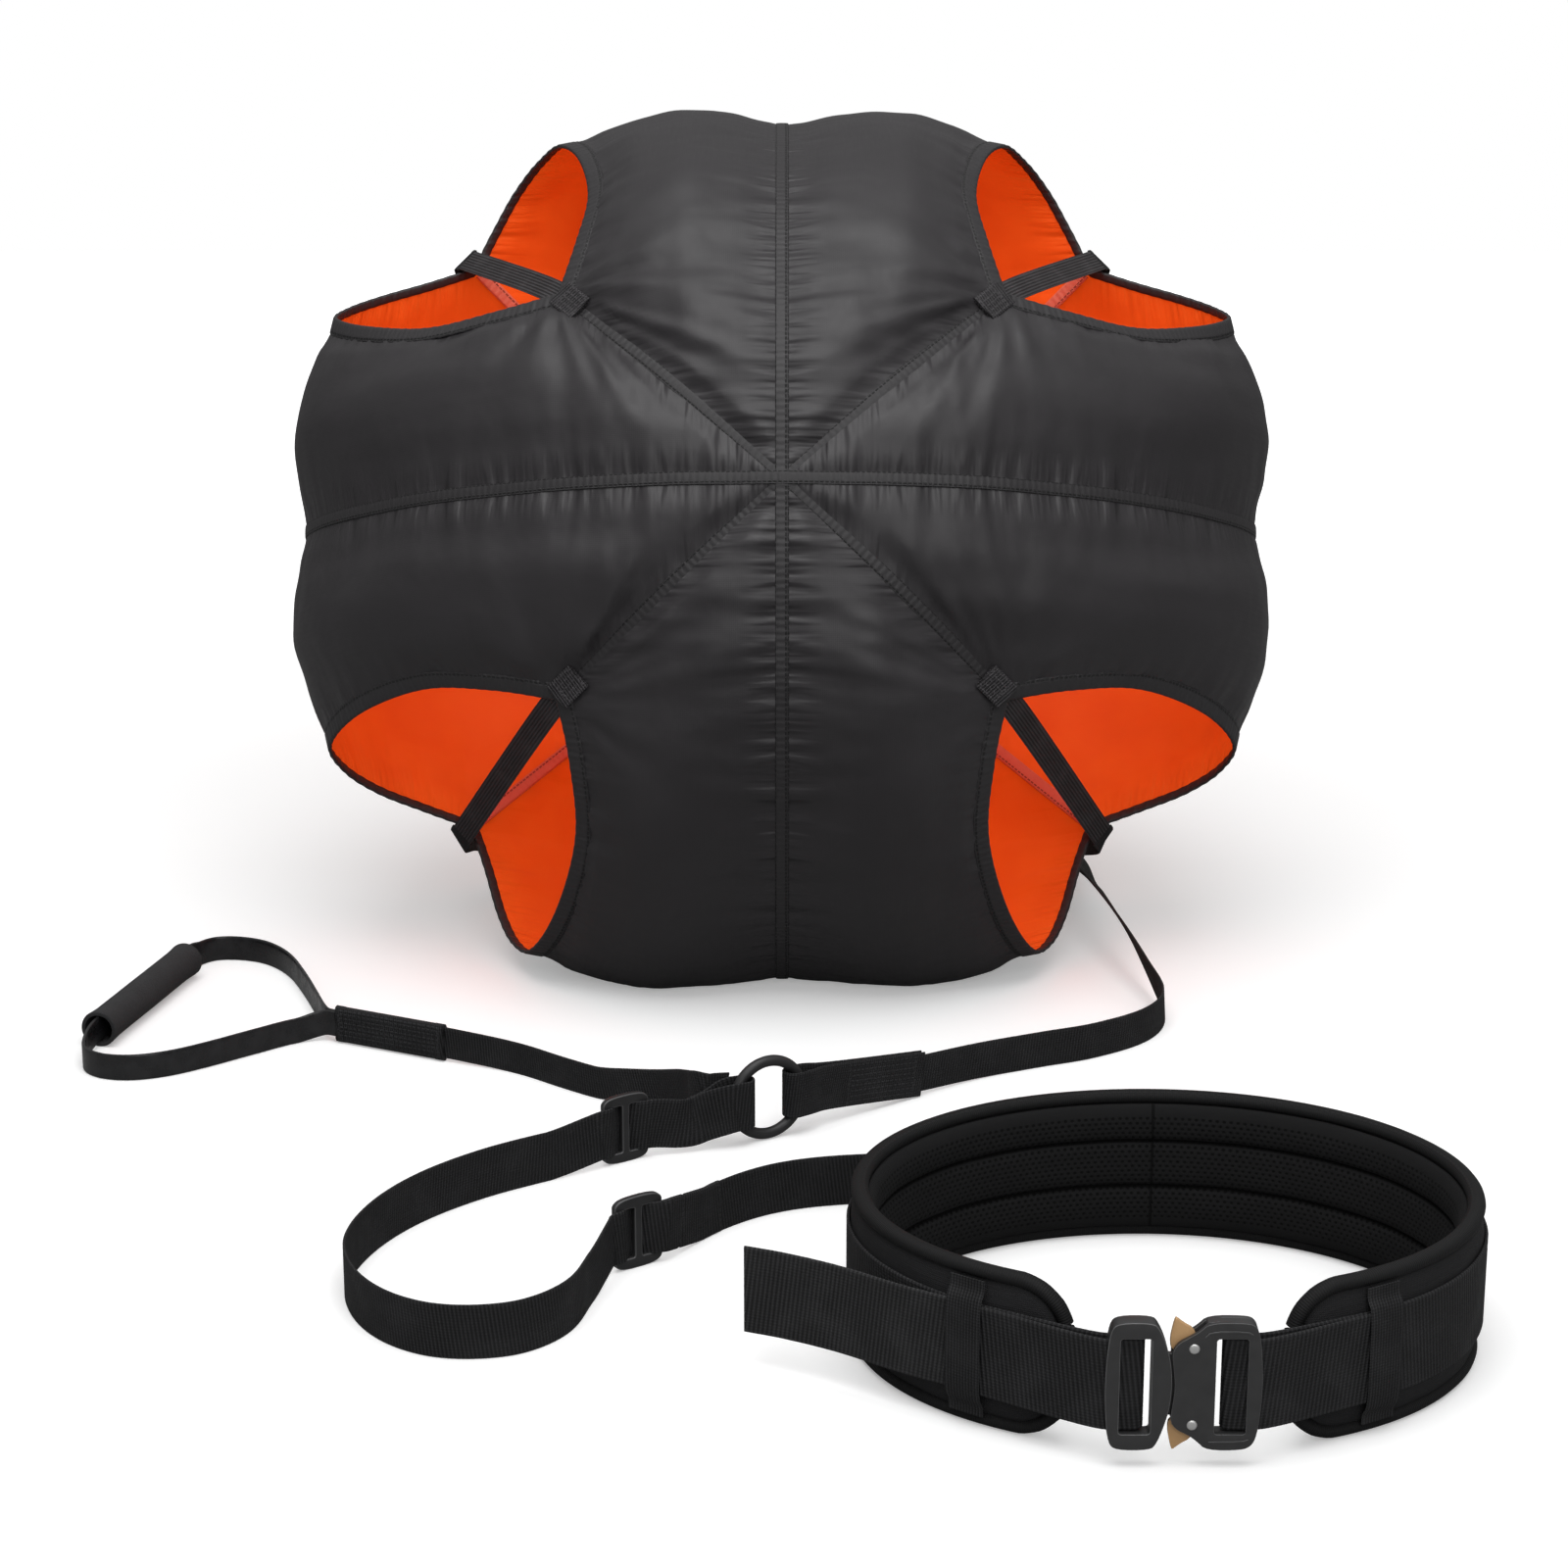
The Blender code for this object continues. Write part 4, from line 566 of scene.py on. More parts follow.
def highest(signals):
    """The highest of several signals."""
    whole = signals[0]
    for signal in signals[1:]:
        whole = whole.maths("MAXIMUM", signal)
    return whole


def webbing_paint(name, width, ribs=2.2 * mm, lengthwise=False, stitches=(), shade=(0.009, 0.009, 0.0095)):
    """Woven strap: ridges with a painted highlight and painted shade in the grooves, selvedges, rubbed
    stretches and stitches, as (start, stop, rows in mm).
    """
    paint = Paint(name, shade, 0.72, "black_webbing", shine=0.25)
    vector, along, across, _ = paint.cloth()
    rubbed = paint.cloud(vector, 26 * mm).soft(0.42, 0.72)
    thread = paint.cloud(vector, 1.3 * mm, 2.0, (0.35, 1, 1))
    if lengthwise:
        ridge, cross = across.wave(ribs), along.wave(1.6 * mm)
    else:
        ridge, cross = (along + across * 0.12).wave(ribs), across.wave(1.7 * mm)
    height = ridge * 0.8 + cross * 0.22 + thread * 0.3
    selvedge = abs(across).soft(width / 2 - 2.6 * mm, width / 2 - 1.4 * mm)
    # The ridges are painted much paler than the grooves: a painted highlight and painted shade over the
    # weave.
    tone = 0.15 + ridge * 0.95 + thread * 0.35 + rubbed * 0.3 + selvedge * 0.22
    lines = []
    for start, stop, rows in stitches:
        inside = (along > start) * (along < stop)
        lines += [abs(across - row * mm).soft(0.9 * mm, 0.35 * mm) * inside * dashes(along) for row in rows]
        cross_row = dashes(across + width, 3.2 * mm, 2.2 * mm)
        lines += [abs(along - end).soft(1.0 * mm, 0.4 * mm) * cross_row * (abs(across) < width / 2 - 2 * mm)
                  for end in (start, stop)]
    if lines:
        sewn = highest(lines)
        tone = tone + sewn * 0.9
        height = height * (1 - sewn * 0.5) + sewn * 0.9
    dark, light = (tuple(part * share for part in shade) for share in (0.15, 3.5))
    paint.finish(tone * 0.68, dark, light, 0.66 + thread * 0.2 - rubbed * 0.08, height, 0.7 * mm)
    return paint


wide_web = webbing_paint("belt_web", 50 * mm, 2.6 * mm)
tow_web = webbing_paint("tow_web", 25 * mm, 2.1 * mm)
narrow_web = webbing_paint("narrow_web", 20 * mm, 1.9 * mm)
keeper_web = webbing_paint("keeper_web", 21 * mm, 1.8 * mm, lengthwise=True)
print("plain webbing", [paint.material.name for paint in (wide_web, tow_web, narrow_web, keeper_web)])

# %% [markdown]
# ## Bridle, junction and tow strap
# Four legs leave the back pinches and are sewn together in a stitched block behind the canopy. The tow
# strap starts there, runs round the right side on its edge and ends inside a doubled sleeve that turns
# round the ring. Long flat cords like these are swept along one line each, and the length of each line is
# printed.

# %% Bridle
junction_length, junction_width, junction_height = 60 * mm, 26 * mm, 9 * mm
junction_place = Vector((10 * mm, 452 * mm, 0))
junction_heading = radians(90)
bridle_width, bridle_thickness = 20 * mm, 1.2 * mm
corner_back_lift = 8.4 * mm
bridle_bends = {
    "upper_right": [(214, 276, 420), (178, 334, 300), (136, 362, 170), (94, 360, 74), (54, 362, 28),
                    (24, 380, 12)],
    "upper_left": [(-216, 276, 420), (-172, 336, 292), (-124, 366, 160), (-74, 364, 58), (-34, 366, 20),
                   (-4, 382, 8)],
    "lower_right": [(214, 128, 58), (190, 186, 14), (140, 262, 2), (92, 312, 2), (52, 346, 4),
                    (24, 374, 5)],
    "lower_left": [(-230, 132, 62), (-200, 210, 16), (-134, 292, 2), (-72, 336, 2), (-30, 358, 2),
                   (-3, 380, 2)],
}


def line_length(points):
    """Length of a line of points."""
    return sum((b - a).length for a, b in zip(points, points[1:]))


def cord(made, centres):
    """Print a strap's name and the length of the line that it follows."""
    length = line_length(centres)
    print(made.name, "length", round(length, 3))


for layer, corner in enumerate(("lower_left", "lower_right", "upper_left", "upper_right")):
    _, back, along, outward, side = corner_frame(corner)
    start = back + outward * corner_back_lift + along * seam_gap
    turn = start + along * (bridle_width * 0.6)
    bends = listed(bridle_bends[corner])
    first = lean_toward(Vector(bends[0]) - start, side) % pi
    opening = lean_toward(along, side) % pi
    leans = [*np.linspace(first, pi / 2, len(bends) - 3), pi / 2, pi / 2, pi / 2]
    route = [np.array([*start, opening]), np.array([*turn, opening])]
    route += [np.array([*bend, lean]) for bend, lean in zip(bends, leans)]
    hand = 1 if "right" in corner else -1
    for before in (bridle_width / 2, 0):
        spot = junction_place - plan(junction_heading, junction_length / 2 + seam_gap + before,
                                     -hand * seam_gap)
        route.append(over(spot, junction_height * (layer + 0.5) / 4, pi / 2))
    made, centres = strap(f"bridle_{corner}", run_through(route, True, True), bridle_width,
                          bridle_thickness, narrow_web, "canopy", [f"bridle_{corner}"], step=5 * mm)
    cord(made, centres)

# %% Tow strap and its sleeve
tow_width, tow_thickness = 25 * mm, 1.5 * mm
sleeve_width, sleeve_thickness, sleeve_length, tow_insert = 30 * mm, 1.5 * mm, 98 * mm, 40 * mm
ring_radius, ring_wire = 24 * mm, 3.5 * mm
ring_place = Vector((-10 * mm, -294 * mm, 0))
ring_heading, leash_heading, sleeve_heading = radians(30), radians(202), radians(38)
fold_room, fold_open, fold_close = 2.4 * mm, 0.2, 0.8
tow_route = [(14, 498, 4), (44, 524, 8), (96, 520, 12), (146, 474, 13), (184, 400, 15), (208, 310, 17),
             (222, 230, 21), (224, 160, 28), (226, 90, 42), (240, 20, 36), (255, -44, 19),
             (259, -88, 13), (243, -124, 12.5), (206, -154, 12.5), (167, -172, 12.5), (128, -192, 13)]
tow_leans = [pi / 2, 1.5, 1.3, 1.2, 1.1, 1.05, 1.0, 0.9, 0.75, 0.55, 0.25, 0.05, 0, 0, 0, 0]


def fold_path(limb, heading, reach, spread, thickness, far_height):
    """A strap doubled round the ring: near run outward, round the wire and back."""
    inside = ring_wire + fold_room
    radius = inside + thickness / 2
    centre = radius - inside + ring_wire * 1.5
    height = ring_radius + ring_wire
    opened = ring_radius * fold_open
    runs = []
    for hand in (-1, 1):
        run = []
        for along, aside in ((reach, spread), (ring_radius * fold_close, spread), (opened, radius),
                             (-centre + radius * 0.2, radius)):
            share = min(max((along - opened) / (reach - opened), 0), 1)
            spot = limb + plan(heading, along, hand * aside)
            run.append(over(spot, height + (far_height - height) * share))
        runs.append(run)
    bend = [over(limb + plan(heading, -centre - radius * sin(angle), -radius * cos(angle)), height)
            for angle in (pi * step / 8 for step in range(1, 8))]
    return runs[0] + bend + runs[1][::-1]


tow_limb = ring_place + plan(ring_heading, ring_radius)
route = []
for ahead in (seam_gap, tow_width / 3):
    front = junction_place + plan(junction_heading, junction_length / 2 + ahead)
    route.append(over(front, junction_height / 2, pi / 2))
route += [np.array([*spot, lean]) for spot, lean in zip(listed(tow_route), tow_leans)]
route.append(over(tow_limb + plan(sleeve_heading, sleeve_length), sleeve_width / 2 + seam_gap, 0))
end = tow_limb + plan(sleeve_heading, sleeve_length - tow_insert)
path = [*run_through(route, True), over(end, (ring_radius + ring_wire + sleeve_width / 2) / 2, 0)]
tow_strap, tow_centres = strap("tow_strap", path, tow_width, tow_thickness, tow_web, "canopy",
                               ["tow_strap"], step=4 * mm)

sleeve_rows = (-12, -8.5, -5, -1.5, 1.5, 5, 8.5, 12)
sleeve_web = webbing_paint("sleeve_web", sleeve_width, 1.8 * mm, stitches=[(7 * mm, 62 * mm, sleeve_rows),
                                                                         (154 * mm, 209 * mm, sleeve_rows)])
spread = (sleeve_thickness + tow_thickness) / 2 + seam_gap
path = fold_path(tow_limb, sleeve_heading, sleeve_length, spread, sleeve_thickness,
                 sleeve_width / 2 + seam_gap)
tow_sleeve, _ = strap("tow_sleeve", path, sleeve_width, sleeve_thickness, sleeve_web, "canopy",
                      ["tow_sleeve"], step=1.5 * mm)

# %% [markdown]
# ## Sewn blocks
# Where several layers meet they are sewn through and through, which gives a stiff block with a raised
# seam near each end and close rows of zigzag stitches between them. One flat tube whose thickness swells
# at the ends and ripples between them gives that outline, and the stitches are in its finish.

# %% Junction and handle sleeve
def sewn_swell(length):
    """Thickness and width shares along a sewn block: proud ends, and a ripple at each row of stitches."""
    proud_end, stitch_row, rounded_end = 6 * mm, 3.1 * mm, 1.2 * mm

    def swell(gone):
        inset = min(gone, length - gone)
        raised = 1.0 if inset < proud_end else 1 - 0.16 * (0.75 + 0.25 * cos(2 * pi * gone / stitch_row))
        if inset < rounded_end:
            raised *= 0.86
        return raised, 1.0 if inset < proud_end else 0.985
    return swell


def sewn_block(name, place, heading, length, width, height, standing, paint, body):
    """A block of sewn layers; a standing one is on its edge."""
    lean = 0.0 if standing else pi / 2
    middle = place + up * ((width if standing else height) / 2)
    path = [np.array([*(middle + plan(heading, share * length)), lean])
            for share in (-0.5, -0.25, 0, 0.25, 0.5)]
    return strap(name, path, width, height, paint, body, [name], step=0.5 * mm, swell=sewn_swell(length))[0]


junction_web = webbing_paint("junction_web", junction_width, 1.9 * mm,
                             stitches=[(4 * mm, 56 * mm, (-9.5, -6, -2.5, 1, 4.5, 8, 10.5))])
junction = sewn_block("bridle_junction", junction_place, junction_heading, junction_length, junction_width,
                      junction_height, False, junction_web, "canopy")
cord(tow_strap, tow_centres)

handle_sleeve_length, handle_sleeve_height, handle_sleeve_thickness = 84 * mm, 26 * mm, 7.4 * mm
handle_sleeve_place = Vector((-262.5 * mm, -141 * mm, 0))
handle_sleeve_heading = radians(-26)
handle_sewn = webbing_paint("handle_sewn", handle_sleeve_height, 1.5 * mm,
                            stitches=[(3 * mm, 81 * mm, (-10, -7, -4, -1, 2, 5, 8, 10.5))])
handle_sleeve = sewn_block("handle_sleeve", handle_sleeve_place, handle_sleeve_heading,
                           handle_sleeve_length, handle_sleeve_height, handle_sleeve_thickness, True,
                           handle_sewn, "leash_and_belt")

# %% [markdown]
# ## Ring and triglides
# The ring is a rod bent round and welded, blackened all over. A triglide is a plate with three bars: its
# outline with two slots is filled and extruded, and a bevel rounds every edge. The bevel is a second
# paint, paler than the faces: a painted highlight along every edge.

# %% Hardware
def metal_with_painted_edge_light(name, slot, shade, bright, roughness, metallic=1.0):
    """Coated metal with fine tool marks, a mottled sheen and sharp edges painted paler, a painted highlight.
    """
    paint = Paint(name, shade, roughness, slot, metallic)
    vector = paint.places()
    mottle, fine = paint.cloud(vector, 9 * mm), paint.cloud(vector, 0.8 * mm, 4.0)
    # Pointiness lifts the colour on sharp edges: a painted highlight along them.
    rim = paint.node("ShaderNodeNewGeometry").output("Pointiness").soft(0.54, 0.62)
    paint.finish(rim * 0.7 + mottle * 0.25, shade, bright,
                 roughness + mottle * 0.16 - rim * 0.08 + fine * 0.06, fine * 0.6 + mottle * 0.3, 0.06 * mm)
    return paint


black_steel = metal_with_painted_edge_light("black_steel", "black_steel", (0.026, 0.026, 0.027), (0.075, 0.075, 0.077),
                         0.36, 0.3)
# A paler copy of the black steel for the bevels: a painted highlight along the edges.
worn_edge = metal_with_painted_edge_light("worn_edge", "black_steel", (0.085, 0.085, 0.087), (0.15, 0.15, 0.152), 0.34, 0.3)
bright_steel = metal_with_painted_edge_light("bright_steel", "bright_steel", (0.66, 0.66, 0.65), (0.82, 0.82, 0.81), 0.4)
bronze = metal_with_painted_edge_light("bronze", "bronze", (0.60, 0.36, 0.165), (0.80, 0.53, 0.29), 0.38, 0.2)

stood = Matrix.Rotation(pi / 2, 3, 'X')
shape = bmesh.new()
bmesh.ops.create_circle(shape, segments=20, radius=ring_wire)
placed(shape, (ring_radius, 0, 0), stood)
bmesh.ops.spin(shape, geom=shape.verts[:] + shape.edges[:], cent=(0, 0, 0), axis=(0, 0, 1), angle=2 * pi,
               steps=72, use_merge=True)
placed(shape, ring_place + up * (ring_radius + ring_wire), stood, Matrix.Rotation(ring_heading, 3, 'Z'))
piece("pull_ring_smooth", shape, [black_steel], "ring", ["pull_ring"])


def rounded(points, rounds=2):
    """A closed outline with its corners cut again and again."""
    points = np.array(points, dtype=float)
    for _ in range(rounds):
        after = np.roll(points, -1, axis=0)
        points = np.stack([points * 0.75 + after * 0.25, points * 0.25 + after * 0.75], 1).reshape(-1, 2)
    return points


def cut_plate(outlines, low, high, rounding, segments=3):
    """A plate, in millimetres, between two depths: an outline and its slots. Its rims take paint two, where a
    paler paint gives a painted edge highlight.
    """
    shape = bmesh.new()
    for outline in outlines:
        verts = [shape.verts.new((x * mm, y * mm, low * mm)) for x, y in outline]
        for pair in zip(verts, verts[1:] + verts[:1]):
            shape.edges.new(pair)
    bmesh.ops.triangle_fill(shape, edges=shape.edges, use_beauty=True, use_dissolve=False, normal=(0, 0, 1))
    grown = bmesh.ops.extrude_face_region(shape, geom=shape.faces[:], use_keep_orig=True)["geom"]
    bmesh.ops.translate(shape, vec=(0, 0, (high - low) * mm),
                        verts=[item for item in grown if isinstance(item, bmesh.types.BMVert)])
    bmesh.ops.recalc_face_normals(shape, faces=shape.faces)
    sharp = [edge for edge in shape.edges if edge.is_manifold and edge.calc_face_angle() > radians(50)]
    bmesh.ops.bevel(shape, geom=sharp, offset=rounding * mm, segments=segments, profile=0.5, affect='EDGES',
                    material=1, clamp_overlap=True)
    bmesh.ops.rotate(shape, cent=(0, 0, 0), verts=shape.verts, matrix=stood)
    return shape


def slot_outline(middle, width=16.0, height=52.5, corner=1.6):
    """A slot with small rounded corners."""
    ring = []
    for sx, sy, start in ((1, 1, 0), (-1, 1, 1), (-1, -1, 2), (1, -1, 3)):
        for step in range(4):
            angle = (start + step / 3) * pi / 2
            ring.append((middle + sx * (width / 2 - corner) + corner * cos(angle),
                         sy * (height / 2 - corner) + corner * sin(angle)))
    return ring


# %% Triglides
glide_length, glide_height, glide_thickness, glide_bar = 32 * mm, 44 * mm, 4 * mm, 5 * mm
glide_clear = 0.6 * mm
upper_glide_place, upper_glide_heading = Vector((-98 * mm, -331 * mm, 0)), radians(214)
lower_glide_place, lower_glide_heading = Vector((-84 * mm, -487 * mm, 0)), radians(35)
glide_outline = [(-10, 22), (10, 22), (16, 19), (16, 14), (15.6, 0), (16, -14), (16, -19), (10, -22),
                 (-10, -22), (-16, -19), (-16, -14), (-15.6, 0), (-16, 14), (-16, 19)]
for name, place, heading in (("triglide_upper", upper_glide_place, upper_glide_heading),
                             ("triglide_lower", lower_glide_place, lower_glide_heading)):
    slots = [slot_outline(middle, 8.5, 30.6, 1.0) for middle in (-6.75, 6.75)]
    shape = cut_plate([rounded(glide_outline), *slots], -2, 2, 0.7)
    placed(shape, place + up * (glide_height / 2), Matrix.Rotation(heading, 3, 'Z'))
    piece(name + "_smooth", shape, [black_steel, worn_edge], "leash_and_belt", [name])


# %% [markdown]
# ## Leash
# One long webbing turns round the ring, threads both triglides and ends sewn to the back of the belt. It
# passes in front of each end bar and behind each middle bar, which is what holds it by friction.

# %% Leash
leash_width, leash_thickness, leash_return = 32 * mm, 1.5 * mm, 30 * mm
belt_place = Vector((207 * mm, -577 * mm, 0))
belt_half_width, belt_half_depth, belt_height = 171 * mm, 141.5 * mm, 90 * mm
belt_webbing_width, belt_webbing_thickness = 50 * mm, 1.8 * mm
anchor_patch_length, anchor_patch_height, anchor_patch_thickness = 62 * mm, 44 * mm, 2 * mm
anchor_turn = radians(162)
keeper_width, keeper_height, keeper_thickness = 21 * mm, 76 * mm, 1.2 * mm
keeper_left_turn, keeper_right_turn = radians(-41), radians(35)
upper_leash = [(-142, -362), (-182, -391), (-216, -428), (-238, -470), (-247, -515), (-240, -552),
               (-222, -583), (-196, -603), (-168, -608), (-140, -600), (-118, -575), (-107, -535)]
lower_leash = [(-46, -448), (-28, -428), (-8, -413), (16, -403), (50, -397), (90, -396), (130, -401),
               (172, -411)]
belt_turns = np.linspace(-2 * pi, 2 * pi, 2881)
belt_steps = np.hypot(np.diff(belt_half_width * np.sin(belt_turns)),
                      np.diff(-belt_half_depth * np.cos(belt_turns)))
belt_lengths = np.concatenate([[0], np.cumsum(belt_steps)])


def turn_at(length):
    """Turn round the belt's oval at an arc length: 0 is the front and a quarter turn the right side."""
    return float(np.interp(length, belt_lengths, belt_turns))


def length_at(turn):
    """Arc length at a turn."""
    return float(np.interp(turn, belt_turns, belt_lengths))


def belt_spot(turn, outward, height):
    """A point by the belt."""
    on_oval = Vector((belt_half_width * sin(turn), -belt_half_depth * cos(turn), 0))
    normal = Vector((belt_half_depth * sin(turn), -belt_half_width * cos(turn), 0)).normalized()
    return belt_place + on_oval + normal * outward + up * height


def keeper_length(hand):
    """Arc length of a keeper's middle: hand -1 is the left one."""
    return length_at(keeper_right_turn) if hand > 0 else length_at(keeper_left_turn + 2 * pi)


def belt_marks():
    """Arc lengths that the belt's layers bend at, from one keeper round to the other."""
    marks = [keeper_length(hand) + share * keeper_width / 2 for hand in (1, -1) for share in (-1, 0, 1)]
    start, stop = keeper_length(1) + keeper_width / 2, keeper_length(-1) - keeper_width / 2
    return sorted([*marks, *np.linspace(start, stop, 24)[1:-1]])


def webbing_offset(layer):
    """Middle of a belt webbing layer outside the pad: 0 is the layer against it."""
    return seam_gap + belt_webbing_thickness / 2 + layer * (belt_webbing_thickness + seam_gap)


def patch_marks():
    """Arc lengths where the patch bends with the belt, from the leash's side."""
    middle, half = length_at(anchor_turn), anchor_patch_length / 2
    inner = [mark for mark in belt_marks() if abs(mark - middle) < half - seam_gap]
    return [middle + half, *inner[::-1], middle - half]


def anchor_spots():
    """The leash's last stretch, sewn to the belt webbing at the back."""
    out = webbing_offset(0) + belt_webbing_thickness / 2 + seam_gap + leash_thickness / 2
    first, *middle, _ = patch_marks()
    spots = []
    for mark in [first + anchor_patch_length / 4, first, *middle]:
        spots.append(over(belt_spot(turn_at(mark), out + (leash_thickness if mark > first else 0), 0),
                          leash_width / 2))
    return spots


def weave(place, heading, hand=1):
    """The webbing's way through a triglide: past an end bar, behind the middle bar, past the other."""
    depth = (glide_thickness / 2 + glide_clear + leash_thickness / 2) * hand
    end_bar = (glide_length - glide_bar) / 2
    reach = end_bar + glide_bar
    return [over(place + plan(heading, along, aside * depth), glide_height / 2)
            for along, aside in ((-reach, 1), (-end_bar + glide_bar / 2, 1), (-glide_bar / 2, -1),
                                 (glide_bar / 2, -1), (end_bar - glide_bar / 2, 1), (reach, 1))]


def doubled(gone):
    """The leash is twice as thick where its end is sewn back, with a dent at the first row of stitches."""
    if abs(gone - sewn_start) < 1 * mm:
        return 1.5, 0.99
    return (2.1, 1.02) if glided < gone < sewn_stop else (1.0, 1.0)


limb = ring_place - plan(ring_heading, ring_radius)
fold = fold_path(limb, leash_heading, leash_return, (leash_thickness + seam_gap) / 2, leash_thickness,
                 leash_width / 2 + (glide_height - leash_width) / 4)
first = weave(upper_glide_place, upper_glide_heading)
second = weave(lower_glide_place, lower_glide_heading, -1)
loop, rest = (listed(table, leash_width / 2) for table in (upper_leash, lower_leash))
anchor = anchor_spots()
path = fold + first[:-1] + run_through([first[-1], *loop, second[0]]) + second[1:-1]
glided = sum(float(np.linalg.norm(after[:3] - before[:3])) for before, after in zip(path, path[1:]))
sewn_start, sewn_stop = glided + 17 * mm, glided + 55 * mm
leash_rows = [(1.5 * mm, 19 * mm, []), (sewn_start, sewn_stop - 1.5 * mm, [])]
leash_web = webbing_paint("leash_web", leash_width, 2.2 * mm, stitches=leash_rows)
path += run_through([second[-1], *rest, anchor[0]]) + anchor[1:]
leash, leash_centres = strap("leash", path, leash_width, leash_thickness, leash_web, "leash_and_belt",
                             ["leash"], step=1.5 * mm, swell=doubled)

patch_web = webbing_paint("patch_web", anchor_patch_height, 2.2 * mm,
                          stitches=[(4 * mm, 58 * mm, (-18, -14, 14, 18))])
out = (webbing_offset(0) + belt_webbing_thickness / 2 + seam_gap * 2 + leash_thickness
       + anchor_patch_thickness / 2)
low_edge, high_edge = seam_gap, leash_width / 2 + anchor_patch_height / 2
spots = [np.array(belt_spot(turn_at(mark), out, (low_edge + high_edge) / 2))
         for mark in np.linspace(patch_marks()[0], patch_marks()[-1], 9)]
anchor_patch, _ = strap("anchor_patch_sewn", spots, high_edge - low_edge, anchor_patch_thickness, patch_web,
                        "leash_and_belt", ["anchor_patch"])
cord(leash, leash_centres)

# %% [markdown]
# ## Pull handle
# A strap runs from the ring to a sewn sleeve, a rubber band makes the loop and a foam tube slides on it.
# The rubber is smooth and shiny with rounded edges. The foam is matt, with a fine open skin, and its ends
# have spread a little from use.

# %% Handle
handle_strap_width, handle_strap_thickness = 22 * mm, 1.5 * mm
handle_loop_width, handle_loop_thickness = 18 * mm, 2.6 * mm
grip_radius, grip_bore, grip_length = 12.5 * mm, 9.8 * mm, 146 * mm
grip_place, grip_heading = Vector((-441.5 * mm, -62.5 * mm, 0)), radians(76)
handle_route = [(-178, -181, 11), (-141, -211, 11), (-120, -227, 11), (-97, -240, 14.5), (-78, -252, 18.5),
                (-66, -265, 23.5), (-60, -280, 28.5), (-58, -295, 34), (-53, -304, 37.5)]
near_loop = [(-327, -126), (-353, -147), (-382, -172), (-405, -188), (-428, -195), (-449, -190),
             (-461, -174)]
far_loop = [(-418, 31), (-407, 42), (-388, 42), (-369, 32), (-351, 8), (-336, -28), (-321, -72)]


def handle_end(along, aside=0):
    """A place at half height by the handle's sleeve."""
    return over(handle_sleeve_place + plan(handle_sleeve_heading, along, aside), handle_sleeve_height / 2)


half = handle_sleeve_length / 2 + seam_gap
wide, narrow = ring_wire + fold_room + leash_thickness / 2, (leash_thickness + seam_gap) / 2
ends = []
for along, height in ((16 * mm, 37.5 * mm), (2 * mm, 34.5 * mm)):
    share = min((fold_close * ring_radius - along) / ((fold_close - fold_open) * ring_radius), 1)
    behind = narrow + (wide - narrow) * share + leash_thickness / 2 + handle_strap_thickness / 2
    ends.append(over(limb + plan(leash_heading, along, -behind - 2 * seam_gap), height))
route = [handle_end(half), handle_end(half + 4 * handle_strap_thickness), *listed(handle_route), ends[0]]
handle_web = webbing_paint("handle_web", handle_strap_width, 2 * mm)
path = run_through(route, True) + ends[1:]
handle_strap, handle_centres = strap("handle_strap", path, handle_strap_width, handle_strap_thickness,
                                     handle_web, "leash_and_belt", ["handle_strap"], step=3 * mm)
cord(handle_strap, handle_centres)

rubber = Paint("black_rubber", (0.014, 0.014, 0.015), 0.3, "black_rubber")
vector = rubber.cloth()[0]
smear, grain = rubber.cloud(vector, 11 * mm).soft(0.35, 0.75), rubber.cloud(vector, 0.7 * mm)
rubber.finish(smear * 0.5, (0.011, 0.011, 0.012), (0.028, 0.028, 0.03), 0.2 + smear * 0.16 + grain * 0.08,
              grain * 0.4 + smear * 0.6, 0.08 * mm)

aside = handle_loop_thickness / 2 + seam_gap / 2
square = half + 3 * handle_loop_thickness
straight = grip_length / 2 + 2 * handle_loop_thickness
route = [handle_end(-half, -aside), handle_end(-square, -aside), *listed(near_loop, handle_loop_width / 2)]
route += [over(grip_place + plan(grip_heading, reach), grip_radius) for reach in (-straight, 0, straight)]
route += listed(far_loop, handle_loop_width / 2) + [handle_end(-square, aside), handle_end(-half, aside)]
strap("handle_loop_band", run_through(route, True, True), handle_loop_width, handle_loop_thickness, rubber,
      "leash_and_belt", ["handle_loop"])

foam = Paint("grip_foam", (0.02, 0.02, 0.021), 0.85, "grip_foam")
vector = foam.places()
cells = foam.node("ShaderNodeTexVoronoi", {}, {"Vector": vector, "Scale": 900.0})
broad, fine = foam.cloud(vector, 16 * mm), foam.cloud(vector, 1.6 * mm)
foam.finish(cells * 0.5 + broad * 0.5, (0.012, 0.012, 0.013), (0.034, 0.034, 0.036), 0.78 + fine * 0.16,
            cells * 0.6 + fine * 0.5 + broad, 0.3 * mm)

